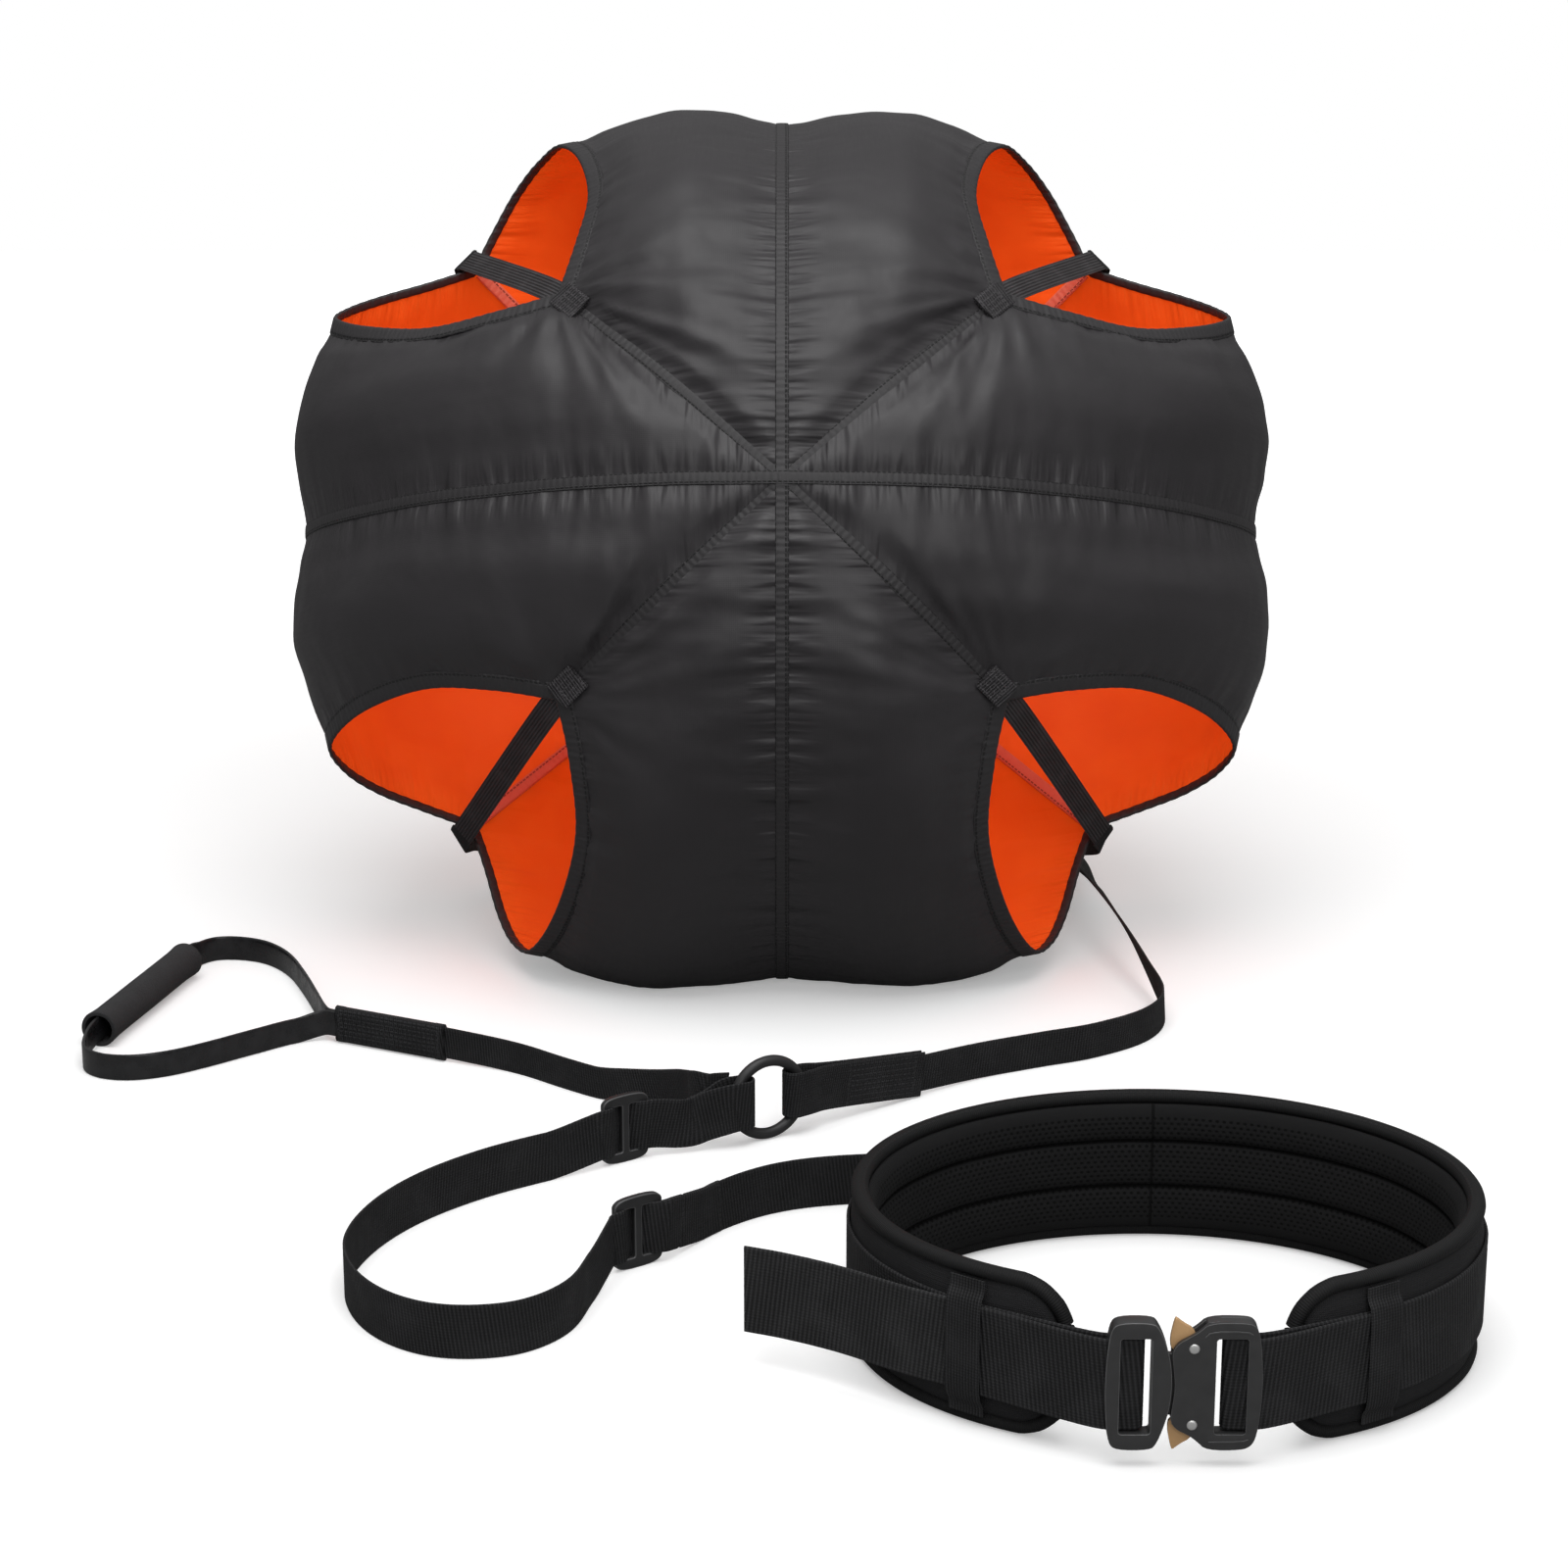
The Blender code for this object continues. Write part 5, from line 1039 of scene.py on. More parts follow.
end_profile = [(0.8, 0.5), (0.75, 0.8), (0.3, 0.93), (0, 0.975), (0.05, 0.992), (0.7, 1.0)]
skin = [(grip_radius - sunk * mm, share) for sunk, share in end_profile]
other_skin = [(radius, -share) for radius, share in skin[::-1]]
profile = [(grip_bore, -1.0), (grip_bore + 0.3 * mm, -1.0), *other_skin, (grip_radius - 0.7 * mm, 0.0), *skin,
           (grip_bore + 0.3 * mm, 1.0), (grip_bore, 1.0), (grip_bore, 0.0)]
shape = turned([(radius, share * grip_length / 2) for radius, share in profile], 64, closed=True)
for vert in shape.verts:
    angle = atan2(vert.co.y, vert.co.x)
    if hypot(vert.co.x, vert.co.y) > grip_bore + 1 * mm:
        dent = noise.noise(Vector((cos(angle), sin(angle), vert.co.z / (30 * mm)))) * 0.35 * mm
        seam = 0.5 * mm if abs(angle - 0.6) < 0.06 else 0
        vert.co -= Vector((cos(angle), sin(angle), 0)) * (abs(dent) + seam)
placed(shape, grip_place + up * grip_radius, up.rotation_difference(plan(grip_heading, 1)).to_matrix())
piece("grip_tube", shape, [foam], "grip", ["grip"])


# %% [markdown]
# ## Canopy cloth
# The cloth is thin woven nylon with a satin finish, black outside and orange inside. It is one curved
# sheet: seams only join its panels. Broad soft folds, gathers along the vents and creases that fan out
# from the pinches are moved into the mesh. The small puckers beside each seam are too fine for that and
# are a bump in the finish, which reads how far a point is from its seam.

# %% Cloth finishes
tape_half, vent_reach = 4.5 * mm, 12 * mm
pinch_gone = float(gone_at(front_pinch))


def puckers(paint, seam, gone):
    """Fine and broad creases square to a seam that die out a few centimetres away."""
    made = []
    # Noise per metre across and along the seam, its offset and detail, its contrast, and where it fades
    for across, along, lift, detail, low, high, reach, full in (
            (14.0, 105.0, 0.0, 1.5, 0.34, 0.66, 30 * mm, 3 * mm),
            (7.0, 38.0, 3.0, 1.0, 0.3, 0.7, 75 * mm, 5 * mm)):
        place = paint.node("ShaderNodeCombineXYZ", {}, {0: seam * across, 1: gone * along, 2: lift})
        ridge = paint.node("ShaderNodeTexNoise", {}, {"Vector": place, "Scale": 1.0, "Detail": detail})
        made.append((ridge.soft(low, high) - 0.5) * seam.soft(reach, full))
    return made


def cloth_paint(name, dark, light, roughness, shine=0.5):
    """Satin ripstop: a fine weave, puckered seams and soft painted shading from a slow noise over the cloth.
    """
    paint = Paint(name, dark, roughness, name, shine=shine)
    vector, middle, gone, edge = paint.cloth()
    place = paint.places()
    thread = middle.wave(1.3 * mm) * 0.5 + gone.wave(1.3 * mm) * 0.5
    streak = paint.cloud(vector, 2.2 * mm, 3.0, (1, 0.12, 0.3))
    # A slow noise paints soft lighter and darker patches: painted light and shade, not tied to the folds.
    shade, crumple = paint.cloud(place, 70 * mm), paint.cloud(place, 34 * mm, 2.0)
    fine_middle, broad_middle = puckers(paint, middle, gone)
    fine_edge, broad_edge = puckers(paint, edge, gone + 0.31)
    folds = fine_middle + fine_edge + (broad_middle + broad_edge) * 1.5 + crumple * 0.9
    weave_bump = paint.relief(thread * 0.4 + streak * 0.6, 0.05 * mm)
    paint.finish(shade * 0.55 + streak * 0.3 + thread * 0.15, dark, light, roughness - 0.06 + streak * 0.14,
                 folds, 1.5 * mm, weave_bump)
    return paint


ripstop = cloth_paint("black_ripstop", (0.019, 0.0175, 0.019), (0.031, 0.028, 0.031), 0.5)
lining = cloth_paint("orange_lining", (0.78, 0.062, 0.005), (0.95, 0.12, 0.012), 0.6, shine=0.2)
# The orange inside glows a little in soft patches: painted light, standing for light shining through the thin
# cloth.
painted_glow = lining.cloud(lining.places(), 38 * mm, 2.0).soft(0.25, 0.75)
lining.set("Emission Color", lining.blend(painted_glow, (0.13, 0.024, 0.0015), (0.19, 0.034, 0.0025)))
lining.set("Emission Strength", 1.0)


def tape_paint(name, shade, thread_shade, half, rows):
    """Flat binding tape with rows of short stitches, in millimetres, along it."""
    paint = Paint(name, shade, 0.5, "seam_tape")
    vector, along, across, _ = paint.cloth()
    grain, drift = paint.cloud(vector, 1.2 * mm), paint.cloud(vector, 22 * mm)
    dash = dashes(along, 3.4 * mm, 2.4 * mm)
    sewn = highest([abs(across - row * mm).soft(0.75 * mm, 0.3 * mm) * dash for row in rows])
    edge = abs(across).soft(half - 1.2 * mm, half - 0.3 * mm)
    pull = along.wave(4.8 * mm) * (0.3 + drift) + drift * 0.8
    ground = paint.blend(grain * 0.5 + drift * 0.4, shade, tuple(part * 1.45 for part in shade))
    paint.finish(sewn * 0.85, ground, thread_shade, 0.5 + grain * 0.12 + sewn * 0.15,
                 pull * 0.5 + grain * 0.2 - sewn * 0.9 - edge * 0.5, 0.5 * mm)
    return paint


tape_black, thread_black = (0.020, 0.0185, 0.020), (0.003, 0.003, 0.003)
outer_tape = tape_paint("outer_tape", tape_black, thread_black, tape_half, (-4.4, 2.6, 4.4))
inner_tape = tape_paint("inner_tape", (0.72, 0.19, 0.12), (0.30, 0.05, 0.03), tape_half, (2.6,))
binding_tape = tape_paint("binding_tape", tape_black, thread_black, 5 * mm, (3.1,))
print("cloth and tape", [paint.material.name for paint in (ripstop, lining, outer_tape, inner_tape)])

# %% [markdown]
# ## Folds in the cloth
# Every fold fades to nothing where two arms are joined, so the merged sheet stays closed. The folds that
# fan out from a pinch depend on the angle around it, and the gathers on a vent's lip run square to it.
# All of them stay clear of the tapes and bindings, which hold the cloth flat.

# %% Canopy sheet
def smooth_noise(places, size, seed=0.0):
    """Soft noise from -1 to 1 at many places."""
    flat = places.reshape(-1, places.shape[-1]) / size
    values = [noise.noise(Vector((point[0] + seed, point[1], point[2]))) for point in flat]
    return np.array(values).reshape(places.shape[:-1])


def fade(distance, reach):
    """1 at the line and dying out over a reach."""
    return np.exp(-np.maximum(distance, 0) / reach)


def ramp(distance, reach):
    """0 at the start and 1 beyond a reach."""
    return np.clip(distance / reach, 0, 1)


def folds(arm, station, side, places):
    """How far each point moves outward, in metres."""
    half = half_width(station)
    middle, edge = np.abs(side) * half, (1 - np.abs(side)) * half
    gone, hand, seed = gone_at(station), np.sign(side), list(arms).index(arm) * 11.0

    def ridges(share, first, last, height):
        """Noise that runs along two lengths; the share keeps an arm's two halves apart."""
        return smooth_noise(np.stack([first, hand * share + seed, last], -1), 1.0) * height

    from_tape = middle - tape_half
    lip = np.clip((station - front_pinch) / 0.25, 0, 1) * np.clip((back_pinch - station) / 0.25, 0, 1)
    held = tape_half + lip * (vent_reach + mm - tape_half)
    free = ramp(edge - held, 16 * mm) * ramp(mouth_rim - station, 0.35) * ramp(station, 0.5)
    # Broad waves in every direction, then long ones that run away from the apex
    broad = (smooth_noise(places, 95 * mm, seed) * 3.2 * mm
             + smooth_noise(places, 42 * mm, seed + 5) * 1.3 * mm)
    lengthwise = np.stack([middle / (24 * mm), gone / (150 * mm), hand * 3 + seed], -1)
    broad = broad + smooth_noise(lengthwise, 1.0) * 1.5 * mm * ramp(from_tape, 20 * mm)
    # Small ones beside the middle seam, and gathers along the vents' lips and the other seams
    near_middle = ridges(7, gone / (13 * mm), middle / (90 * mm), 0.8) * mm * fade(from_tape, 20 * mm)
    near_middle = near_middle * ramp(from_tape, 5 * mm)
    gathers = (ridges(9, gone / (15 * mm), edge / (60 * mm), 2.6) * mm
               * fade(edge - vent_reach, 26 * mm) * lip)
    gathers = gathers + (ridges(5, gone / (14 * mm), edge / (80 * mm), 1.5) * mm
                         * fade(edge - tape_half, 22 * mm) * (1 - lip))
    # Creases that fan out from the pinch, and the fullness of the cloth between its seams
    ahead = gone - pinch_gone
    around, reach = np.arctan2(ahead, edge), np.hypot(ahead, edge)
    creases = ridges(13, around * 3.4, reach / (160 * mm), 5.0) * mm * fade(reach - 25 * mm, 70 * mm)
    creases = creases * ramp(reach, 30 * mm) * ramp(from_tape, 40 * mm)
    gathers = gathers * ramp(from_tape, 40 * mm)
    inner, outer = np.maximum(from_tape, 0), np.maximum(edge - tape_half, 0)
    full = np.sin(pi * inner / (inner + outer + mm)) ** 0.8 * 4.5 * mm * ramp(station, 1.5)
    return (broad + near_middle + creases + full) * free + gathers * ramp(edge - held, 8 * mm)


def quick_rows(many):
    """The number of rows, unchanged."""
    return many


arm_rows, arm_columns, back_rows = quick_rows(118), quick_rows(72), quick_rows(10)
grown = np.concatenate([np.linspace(0, 1, quick_rows(14), endpoint=False),
                        np.linspace(1, back_pinch, arm_rows - quick_rows(14) + 1)])
sheets = []
for arm in arms:
    for paint_index, stations in enumerate((grown, np.linspace(back_pinch, mouth_rim, back_rows + 1))):
        station, side = np.meshgrid(stations, np.linspace(-1, 1, arm_columns + 1), indexing="ij")
        places = cloth_points(arm, station, side)
        normals = cloth_normals(arm, np.clip(station, 0.05, 6.95), side)
        moved = places + normals * folds(arm, station, side, places)[..., None]
        moved[..., 2] = np.maximum(moved[..., 2], 1.0 * mm)
        half = half_width(station)
        marks = np.stack([np.abs(side) * half, gone_at(station), (1 - np.abs(side)) * half], -1)
        shape = woven(moved, marks)
        for face in shape.faces:
            face.material_index = paint_index
        sheets.append(shape)
whole = joined(sheets)
bmesh.ops.remove_doubles(whole, verts=whole.verts, dist=0.05 * mm)
bmesh.ops.recalc_face_normals(whole, faces=whole.faces)
if sum((face.calc_center_median() - Vector(canopy_heart)).dot(face.normal) for face in whole.faces) < 0:
    bmesh.ops.reverse_faces(whole, faces=whole.faces)
cloth_area = sum(face.calc_area() for face in whole.faces)
cloth_nodes = [f"canopy_panel_{arm}_{word}" for arm in arms for word in ("low", "high")]
cloth_nodes += [f"canopy_back_{arm}" for arm in arms]
canopy = piece("canopy_cloth", whole, [ripstop, lining], "canopy", cloth_nodes, smooth=180, turn=False)
wall = canopy.modifiers.new("wall", 'SOLIDIFY')
wall.thickness = 0.8 * mm
wall.offset = -1
wall.material_offset = 1
wall.material_offset_rim = 0
print("cloth area", round(cloth_area, 3))

# %% [markdown]
# ## Seam tapes
# The panels are joined by flat tapes with a row of stitches near each edge. A strip follows each seam
# from tip to tip across the apex, a little above the cloth outside and a little below it inside, where
# the tape is a paler pink.

# %% Tapes over the seams
tape_crown = 0.35 * mm


def seam_strip(path_spots, half, lift, inside=False):
    """A strip over a seam: each spot gives its middle point, its sideways direction and its normal."""
    rows, marks, gone, last = [], [], 0.0, None
    shares = (-1, -0.94, -0.7, -0.25, 0, 0.25, 0.7, 0.94, 1)
    for middle, sideways, normal in path_spots:
        gone += 0 if last is None else float(np.linalg.norm(middle - last))
        last = middle
        row = []
        for share in shares:
            rise = lift + tape_crown * (1 - share**4) - (0.6 * mm if abs(share) == 1 else 0)
            row.append(middle + sideways * half * share + normal * rise * (-1 if inside else 1))
        rows.append(row)
        marks.append([(gone, share * half, 0) for share in shares])
    return woven(rows, marks)


def line_spots(arm_stations):
    """Points, sideways directions and normals along a seam, eased over the arms that it joins."""
    spots = []
    for group in arm_stations:
        middle = sum(cloth_points(arm, station, side) for arm, station, side in group) / len(group)
        normal = sum(cloth_normals(arm, max(station, 0.08), side) for arm, station, side in group)
        normal /= np.linalg.norm(normal)
        arm, station, side = group[0]
        if len(group) == 1:
            middle = middle + normal * folds(arm, np.array([station]), np.array([side]), middle[None])[0]
        spots.append((middle, normal))
    made = []
    for index, (middle, normal) in enumerate(spots):
        before, after = spots[max(index - 1, 0)][0], spots[min(index + 1, len(spots) - 1)][0]
        sideways = np.cross(after - before, normal)
        made.append((middle, sideways / np.linalg.norm(sideways), normal))
    return made


def arm_seam(first, second, stop):
    """Stations of a middle seam from one arm's end, over the apex, to the other's."""
    run = np.linspace(stop, 0.0, 120)
    return [[(arm, station, 0.0)] for arm, stations in ((first, run), (second, run[-2::-1]))
            for station in stations]


def corner_seam(one, other, start, stop):
    """Stations of a diagonal seam from one corner to the opposite one, or of a short one."""
    def joint(corner, station):
        first, first_hand, second, second_hand = corners[corner]
        return [(first, station, first_hand), (second, station, second_hand)]
    run = np.linspace(start, stop, 60)
    back_again = [] if other is None else [joint(other, station) for station in run[-2::-1]]
    return [joint(one, station) for station in run] + back_again


long_seams = [(arm_seam("left", "right", 5.99), 0.6), (arm_seam("bottom", "top", 5.99), 0.45),
              (corner_seam("upper_left", "lower_right", 1.98, 0.0), 0.3),
              (corner_seam("upper_right", "lower_left", 1.98, 0.0), 0.15)]
short_runs = [line_spots(corner_seam(corner, None, 6.03, 6.95)) for corner in corners]
strips = [seam_strip(line_spots(spots), tape_half, lift * mm + 0.15 * mm) for spots, lift in long_seams]
piece("seam_tapes", joined(strips), [outer_tape], "canopy", ["canopy_seam_tapes"], smooth=180, turn=False)
inner_runs = [line_spots(spots) for spots, _ in long_seams] + short_runs
strips = [seam_strip(spots, tape_half, 1.3 * mm + index % 5 * 0.12 * mm, inside=True)
          for index, spots in enumerate(inner_runs)]
piece("inner_tapes", joined(strips), [inner_tape], "canopy", smooth=180, turn=False)
outer_back = [line_spots([[(arm, 6.0, side)] for side in np.linspace(-0.97, 0.97, 80)]) for arm in arms]
strips = [seam_strip(spots, tape_half, 0.4 * mm) for spots in outer_back + short_runs]
piece("back_tapes", joined(strips), [outer_tape], "canopy", smooth=180, turn=False)

# %% [markdown]
# ## Bindings
# The cut edges of the vents and the mouth are bound: a tape is folded over the edge and sewn through, so
# it is seen from both sides and has a rounded lip. A U-shaped section swept once round each opening gives
# the fold, the lip and the flat inside face together.

# %% Bindings round the openings
def bound_edge(points, inward, normals, reach, back_reach):
    """A U section swept round an opening."""
    points, inward, normals = (np.asarray(part, dtype=float) for part in (points, inward, normals))
    gone = gone_along(points)
    profile = [(reach, -0.1), (reach - 0.2 * mm, 0.55), (reach * 0.6, 0.75), (reach * 0.25, 0.9),
               (0.4 * mm, 1.0), (-0.7 * mm, 0.4), (-0.9 * mm, -0.5), (-0.7 * mm, -1.4), (0.4 * mm, -2.0),
               (back_reach * 0.6, -1.9), (back_reach - 0.2 * mm, -1.7), (back_reach, -1.0)]
    widths = [4.6, 4.4, 1.2, -2.0, -3.6, -4.4, -4.8, -4.4, -3.6, -2.4, -1.6, -1.2]
    rows, marks = [], []
    for spot, into, normal, far in zip(points, inward, normals, gone):
        ripple = 0.25 * mm * sin(2 * pi * far / (9 * mm))
        rows.append([spot + into * deep + normal * (rise * mm * 0.9 + ripple) for deep, rise in profile])
        marks.append([(far, width * mm, 0) for width in widths])
    return woven(rows, marks)


def bind(name, stretches, reach, back_reach, stands_for):
    """Bind an opening: a stretch gives its arm, its edge, a line inside it and the line of its normals."""
    parts = []
    for arm, edge_at, inside_at, normals_at in stretches:
        edge = cloth_points(arm, *edge_at)
        into = cloth_points(arm, *inside_at) - edge
        into = into / np.linalg.norm(into, axis=-1, keepdims=True)
        parts.append((edge, into, cloth_normals(arm, *normals_at)))
    points, inward, normals = (np.concatenate([*part, part[0][:1]]) for part in zip(*parts))
    shape = bound_edge(points, inward, normals, reach, back_reach)
    piece(name, shape, [binding_tape], "canopy", [stands_for], smooth=180)


run = np.linspace(2.02, 5.98, 150)
for corner, (first, first_hand, second, second_hand) in corners.items():
    stretches = [(arm, (stations, hand * 1.0), (stations, hand * 0.93), (stations, hand * 0.97))
                 for arm, hand, stations in ((first, first_hand, run), (second, second_hand, run[::-1]))]
    bind(f"vent_edge_{corner}", stretches, vent_reach, 6 * mm, f"vent_binding_{corner}")
stretches = []
for arm, (dx, dy) in arms.items():
    sides = np.linspace(-1, 1, 40, endpoint=False) * (1 if dx > 0 or dy < 0 else -1)
    near_rim = np.full_like(sides, 6.9)
    stretches.append((arm, (mouth_rim, sides), (mouth_rim - 0.12, sides), (near_rim, sides)))
bind("mouth_edge", stretches, 8 * mm, 5 * mm, "mouth_binding")

# %% [markdown]
# ## Corner straps
# A strap crosses each vent from a sewn tab at the front pinch to the back pinch. Its webbing has ribs
# that run lengthwise. The tab is one more layer with its edge sewn all round and a small roll at the end.

# %% Straps over the vents
strap_width, strap_thickness, tab_width, tab_length = 18 * mm, 1.2 * mm, 19.5 * mm, 25 * mm
tab_lift, knee_lift = 2.2 * mm, 4.6 * mm
ribbed_web = webbing_paint("ribbed_web", strap_width, 2.3 * mm, lengthwise=True,
                           shade=(0.019, 0.018, 0.019))
tab_web = webbing_paint("tab_web", tab_width, 2.0 * mm, stitches=[(1.8 * mm, 17 * mm, (-8, -4, 0, 4, 8))],
                        shade=(0.017, 0.016, 0.017))


def band(name, middles, side, width, thickness, paint, stands_for, swell=None, body="canopy"):
    """A strap whose width lies along one fixed direction."""
    points, gone = spaced(eased([np.array(middle) for middle in middles], 4), 1.2 * mm)
    side = np.array(side)
    rows, marks = [], []
    for index, spot in enumerate(points):
        course = points[min(index + 1, len(points) - 1)] - points[max(index - 1, 0)]
        flat = np.cross(course, side)
        flat /= np.linalg.norm(flat)
        outline = strap_outline(width, thickness * (swell(gone[index]) if swell else 1))
        rows.append([spot + side * across + flat * off for across, off in outline])
        marks.append([(gone[index], across, off) for across, off in outline])
    return piece(name, woven(rows, marks, ring=True), [paint], body, stands_for, close=True)


for corner, (first, hand, _, _) in corners.items():
    front, back, along, outward, side = corner_frame(corner)
    seam = (cloth_spot(first, 1.62, hand) - front).normalized()
    seam_side = seam.cross(side).normalized()
    seam_up = seam_side if seam_side.dot(front - Vector(canopy_heart)) > 0 else -seam_side
    sewn = front + seam * tab_length + seam_up * tab_lift
    knee = front + outward * knee_lift
    heel = back + outward * corner_back_lift
    band(f"corner_strap_{corner}_web", [sewn, knee, heel], side, strap_width, strap_thickness, ribbed_web,
         [f"corner_strap_{corner}"])
    rise = strap_thickness + seam_gap
    tab_end = sewn + (knee - sewn) * 0.8
    band(f"corner_tab_{corner}_web", [sewn + seam_up * rise, tab_end + seam_up * rise], side, tab_width,
         strap_thickness, tab_web, [f"corner_tab_{corner}"],
         swell=lambda gone: 1.5 if 17.5 * mm < gone < 19.5 * mm else 1.0)


# %% [markdown]
# ## Waist belt
# The belt is a foam pad in tough cloth, lined with spacer mesh that is sewn down in two channels and
# bound with a folded tape all round. Each layer is one cross section carried round the belt's oval and
# drawn in at its two rounded ends. The sections are smooth rings, so the foam looks full between seams.

# %% Pad and lining
belt_binding, belt_corner, pad_thickness, lining_thickness = 4 * mm, 24 * mm, 9 * mm, 5 * mm
pad_start, pad_stop = length_at(radians(19)), length_at(radians(-23.5) + 2 * pi)
pad_half_height = belt_height / 2 - 2 * belt_binding - seam_gap
wrinkle_height = 0.5 * mm
pad_out_shares = [(0.12, 0.0), (0.06, 0.30), (0.0, 0.68), (0.16, 0.94), (0.32, 1.05), (0.78, 1.05),
                  (0.92, 0.94), (1.0, 0.62), (1.0, 0.0)]
lining_shares = [(0.0, 0.0), (0.0, 0.62), (-0.30, 0.96), (-0.16, 1.03), (0.10, 1.04), (0.52, 0.97),
                 (0.86, 0.84), (1.0, 0.70), (0.9, 0.52), (0.45, 0.46), (0.12, 0.44), (0.45, 0.42),
                 (0.9, 0.34), (1.05, 0.16), (1.05, -0.08), (0.9, -0.24), (0.45, -0.30), (0.12, -0.32),
                 (0.45, -0.34), (0.9, -0.42), (1.0, -0.60), (0.86, -0.84), (0.52, -0.97), (0.10, -1.04),
                 (-0.16, -1.03), (-0.30, -0.96), (0.0, -0.62)]
pad_shares = pad_out_shares + [(depth, -height) for depth, height in pad_out_shares[-2:0:-1]]


def pad_height(length):
    """Half height of the pad, drawn in round its two ends."""
    inset = min(length - pad_start, pad_stop - length)
    if inset >= belt_corner:
        return pad_half_height
    return pad_half_height - belt_corner + sqrt(max(belt_corner**2 - (belt_corner - inset)**2, 0))


def belt_layer(name, shares, start, thickness, paint):
    """One layer of the belt, from end to end, with faint wrinkles."""
    outline = rounded(shares)
    ends = [belt_corner * (1 - cos(pi / 2 * step / 12)) for step in range(12)]
    middle = np.linspace(pad_start + belt_corner, pad_stop - belt_corner, quick_rows(200))
    stations = [*(pad_start + inset for inset in ends), *middle,
                *(pad_stop - inset for inset in ends[::-1])]
    rows, marks = [], []
    for length in stations:
        height, turn = pad_height(length), turn_at(length)
        row, mark = [], []
        for depth, rise in outline:
            wrinkle = noise.noise(Vector((length / (26 * mm), rise * 2.2, start * 300))) * wrinkle_height
            out = -start - depth * thickness - wrinkle
            row.append(belt_spot(turn, out, belt_height / 2 + rise * height))
            mark.append((length, rise * height, depth))
        rows.append(row)
        marks.append(mark)
    made = piece(name, woven(rows, marks, ring=True), [paint], "leash_and_belt",
                 [name.replace("_quilted", "")], smooth=70, close=True)


pad_cloth = Paint("pad_cloth", (0.016, 0.016, 0.017), 0.78, "pad_cloth", shine=0.25)
vector, along, across, _ = pad_cloth.cloth()
canvas = along.wave(1.1 * mm) * across.wave(1.1 * mm)
worn, fibre = pad_cloth.cloud(vector, 30 * mm), pad_cloth.cloud(vector, 1.0 * mm)
pad_cloth.finish(canvas * 0.4 + worn * 0.4 + fibre * 0.2, (0.008, 0.008, 0.0085), (0.032, 0.032, 0.034),
                 0.7 + fibre * 0.18, canvas * 0.6 + fibre * 0.3 + worn * 1.2, 0.35 * mm)

spacer = Paint("spacer_mesh", (0.018, 0.018, 0.019), 0.88, "spacer_mesh", shine=0.2)
vector, along, across, _ = spacer.cloth()
hole_wide, hole_high = 4.3 * mm, 2.9 * mm
level = across / hole_high
shifted = along / hole_wide + (level.maths("FLOOR") % 2) * 0.5
apart, above = (shifted % 1) - 0.5, (level % 1) - 0.5
hole = (apart * apart * 1.3 + above * above).maths("SQRT")
net = highest([hole.soft(0.22, 0.34), abs(across).soft(0.84 * pad_half_height, 0.9 * pad_half_height)])
seams = highest([abs(across - 0.44 * pad_half_height).soft(1.5 * mm, 0.5 * mm),
                 abs(across + 0.32 * pad_half_height).soft(1.5 * mm, 0.5 * mm),
                 abs(along - (pad_start + pad_stop) / 2).soft(1.2 * mm, 0.3 * mm)])
fibre = spacer.cloud(vector, 0.9 * mm)
# Inside each hole the colour is near black: painted shade in the hollows of the mesh.
spacer.finish((net * 0.75 + fibre * 0.25) * (1 - seams * 0.8), (0.0004, 0.0004, 0.0004),
              (0.0125, 0.0125, 0.013), 0.8 + fibre * 0.15, net * 1.1 + fibre * 0.2 - seams * 1.2, 0.9 * mm)

belt_layer("belt_pad_quilted", pad_shares, 0, pad_thickness, pad_cloth)
belt_layer("belt_lining_quilted", lining_shares, pad_thickness + 2 * seam_gap, lining_thickness, spacer)

# %% [markdown]
# ## Belt binding
# The tape round the pad's edge is folded over a cord, which makes a firm rolled rim with a row of
# stitches where it meets the pad. It is a tube swept round the outline, a little flattened, with faint
# pulls where each stitch draws it in.

# %% Rolled rim
binding_cloth = Paint("binding_cloth", (0.017, 0.017, 0.018), 0.7, "seam_tape", shine=0.25)
vector, along, turn_round, _ = binding_cloth.cloth()
rib, fibre = along.wave(1.3 * mm), binding_cloth.cloud(vector, 1.1 * mm)
stitch_line = abs(abs(turn_round) - 8.6 * mm).soft(0.8 * mm, 0.3 * mm) * dashes(along)
binding_cloth.finish(rib * 0.35 + fibre * 0.4 + stitch_line * 0.5, (0.003, 0.003, 0.0033),
                     (0.013, 0.013, 0.0135), 0.64 + fibre * 0.18,
                     rib * 0.4 + fibre * 0.3 + stitch_line * 0.8, 0.35 * mm)

clear = belt_binding + seam_gap
depth_in = -pad_thickness * 0.55
radius = belt_corner + clear
stitch_pull, rim_flatness = 0.05, 1.22
outline = []
for end, hand in ((pad_start, 1), (pad_stop, -1)):
    side = []
    for step in range(17):
        angle = pi / 2 * step / 16
        side.append((end + hand * (belt_corner - radius * cos(angle)),
                     pad_half_height - belt_corner + radius * sin(angle)))
    outline.append(side)
long_side = np.linspace(pad_start + belt_corner, pad_stop - belt_corner, quick_rows(220))[1:-1]
top = outline[0] + [(length, pad_half_height + clear) for length in long_side] + outline[1][::-1]
loop = top + [(length, -rise) for length, rise in top[::-1]]
loop.append(loop[0])
places = [belt_spot(turn_at(length), depth_in, belt_height / 2 + rise) for length, rise in loop]
rows, marks, gone = [], [], 0.0
